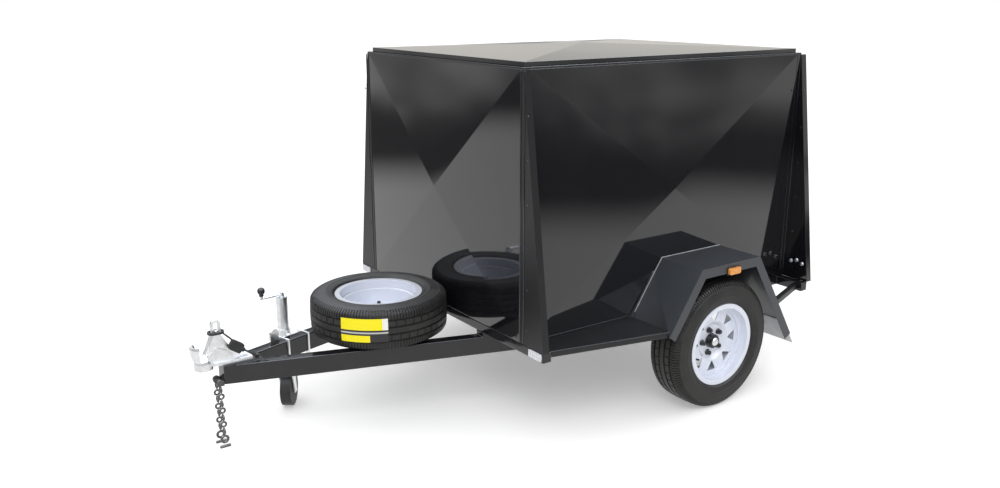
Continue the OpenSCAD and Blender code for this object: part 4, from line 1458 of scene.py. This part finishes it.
@dataclass
class Studio:
    """Pale floor, soft light and the camera.

    A sector is its middle, the half angle that is full and the half angle where it ends. A sky
    band is two heights of the direction, from 0 to 1, and the light at each.
    """

    eye: Point = (1.9665, 3.2732, 1.7331)
    heading_radians: float = -2.1818
    pitch_radians: float = -0.2661
    lens: float = 32.667
    sensor: float = 36.0
    floor_size: float = 400.0
    floor_white: float = 0.86
    floor_lift: float = 0.32
    dark_left: tuple[float, float, float] = (118.0, 8.0, 22.0)
    open_right: tuple[float, float, float] = (-42.0, 7.0, 16.0)
    left_pull: float = 0.35
    right_push: float = 0.42
    lit_span: Span = (4.4, 6.9)
    lit: float = 0.92
    wall_span: Span = (8.5, 16.0)
    wall_rise: float = 1.6
    wall_scale: float = 6.5
    wall_patch: Span = (0.36, 0.66)
    wall_light: Span = (0.12, 0.68)
    room: float = 0.1
    sky: float = 0.2
    sky_bands: tuple[tuple[float, float, float, float], ...] = (
        (0.10, 0.20, 0.45, 0.0), (0.28, 0.42, 0.0, 0.6), (0.50, 0.72, 0.0, 5.5),
        (0.88, 0.97, 0.0, -4.7))
    tint_heights: Span = (0.1, 0.3)
    warm: Colour = (1.03, 1.0, 0.94)
    cool: Colour = (0.93, 0.98, 1.06)
    soft_band: tuple[float, float, float, float] = (0.1, 0.95, 0.42, 1.35)
    key_place: Point = (3.5, 4.5, 5.0)
    key_aim: Point = (0.0, 0.2, 0.5)
    key_size: float = 3.0
    key_power: float = 160.0

    def camera(self, front: float) -> None:
        """Stands the camera where the photograph was taken.

        Args:
            front: X of the front panel's edge.
        """
        bpy.ops.object.camera_add(location=(front + self.eye[0], self.eye[1], self.eye[2]))
        obj = bpy.context.active_object
        level = math.cos(self.pitch_radians)
        aim = Vector((level * math.cos(self.heading_radians),
                      level * math.sin(self.heading_radians), math.sin(self.pitch_radians)))
        obj.rotation_euler = aim.to_track_quat("-Z", "Y").to_euler()
        obj.data.lens, obj.data.sensor_width = self.lens, self.sensor
        obj.data.sensor_fit, obj.data.clip_end = "HORIZONTAL", self.floor_size
        bpy.context.scene.camera = obj

    @staticmethod
    def lobe(graph: Graph, x: Wire, y: Wire, sector: tuple[float, float, float]) -> Wire:
        """A soft sector of the compass.

        Args:
            graph: The graph that it is added to.
            x: Forward part of the direction.
            y: Left part of the direction.
            sector: Its middle and its two half angles.

        Returns:
            One in the sector, zero outside.
        """
        middle, inner, outer = (math.radians(angle) for angle in sector)
        return graph.remap(
            x * math.cos(middle) + y * math.sin(middle), math.cos(outer), math.cos(inner))

    def sweep(self, graph: Graph, x: Wire, y: Wire) -> Wire:
        """Brightness of the floor as gloss shows it: a lit sweep, a dark room and pale walls.

        Args:
            graph: The graph that it is added to.
            x: Forward distance.
            y: Distance to the left.

        Returns:
            The brightness.
        """
        reach = (x * x + y * y + TINY) ** 0.5
        ahead, aside = x / reach, y / reach
        left = self.lobe(graph, ahead, aside, self.dark_left)
        right = self.lobe(graph, ahead, aside, self.open_right)
        span = reach * (1 + left * self.left_pull - right * self.right_push)
        view = graph.add("ShaderNodeCombineXYZ", inputs={
            0: ahead, 1: aside, 2: (reach ** -1.0) * self.wall_rise})
        cloud = graph.remap(graph.noise(view, self.wall_scale, detail=2.0),
                            *self.wall_patch, *self.wall_light)
        walls = graph.remap(span, *self.wall_span) * cloud
        return graph.remap(span, *self.lit_span, self.lit, 0.0) + walls + self.room

    def floor(self) -> None:
        """Lays the floor."""
        Bench.clear()
        bpy.ops.mesh.primitive_plane_add(size=self.floor_size, location=(0, 0, 0))
        obj = Bench.named("studio_floor")
        graph, material = Graph.of_material("pale_floor")
        x, y, _ = graph.axes(graph.place())
        matt = graph.add("ShaderNodeBsdfDiffuse", inputs={
            "Color": (self.floor_white,) * 3 + (1.0,)})
        lift = graph.add("ShaderNodeEmission", inputs={
            "Color": WHITE, "Strength": self.floor_lift})
        bright = graph.add("ShaderNodeAddShader", inputs={0: matt, 1: lift})
        mirrored = graph.add("ShaderNodeEmission", inputs={
            "Color": WHITE, "Strength": self.sweep(graph, x, y)})
        seen = graph.by_ray("Is Camera Ray", matt, bright)
        graph.close(graph.by_ray("Is Glossy Ray", seen, mirrored))
        obj.data.materials.append(material)

    def world(self) -> None:
        """Surrounds the trailer with soft light."""
        world = bpy.data.worlds.new("soft_room")
        world.use_nodes = True
        bpy.context.scene.world = world
        graph = Graph(world.node_tree)
        height = graph.axes(graph.add("ShaderNodeTexCoord", output="Generated"))[2]
        first, *others = [graph.remap(height, *band) for band in self.sky_bands]
        tint = graph.blend(graph.remap(height, *self.tint_heights), self.warm, self.cool)
        mirrored, soft, white = (
            graph.add("ShaderNodeBackground", inputs={"Color": colour, "Strength": strength})
            for colour, strength in (
                (tint, sum(others, first) + self.sky),
                (WHITE, graph.remap(height, *self.soft_band)), (WHITE, 1.0)))
        seen = graph.by_ray("Is Camera Ray", soft, white)
        graph.close(graph.by_ray("Is Glossy Ray", seen, mirrored), "ShaderNodeOutputWorld")

    def lamp(self) -> None:
        """Hangs one soft box, which gloss doesn't show."""
        bpy.ops.object.light_add(type="AREA", location=self.key_place)
        obj = Bench.named("key_box")
        ray = Vector(self.key_aim) - Vector(self.key_place)
        obj.rotation_euler = ray.to_track_quat("-Z", "Y").to_euler()
        obj.data.shape, obj.data.size, obj.data.energy = "SQUARE", self.key_size, self.key_power
        obj.visible_glossy = False

    def build(self, front: float) -> None:
        """Sets up the camera, floor, world and lamp.

        Args:
            front: X of the front panel's edge.
        """
        bpy.context.scene.view_settings.view_transform = "Standard"
        self.camera(front)
        self.floor()
        self.world()
        self.lamp()


def main() -> None:
    """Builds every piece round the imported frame."""
    logging.basicConfig(level=logging.INFO, format="%(message)s")
    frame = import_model()
    low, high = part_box("spare_tyre")
    shop = Paintshop(tuple((low + high) / 2))
    dresser = Dresser(shop)
    Studio().build(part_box("front_left_wing")[1].x)
    Solids(frame).dress(shop)
    boxes = {name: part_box(name) for name in ("left_tyre", "right_tyre", "spare_tyre")}
    Tyres().build(dresser, boxes)
    WheelTrim().build(dresser, boxes)
    Fasteners().build(dresser)
    Guards().build(dresser, frame["nodes"])
    Controls().build(dresser)
    Chains().build(dresser)
    LOG.info("%d pieces added", dresser.count)


if __name__ == "__main__":
    main()
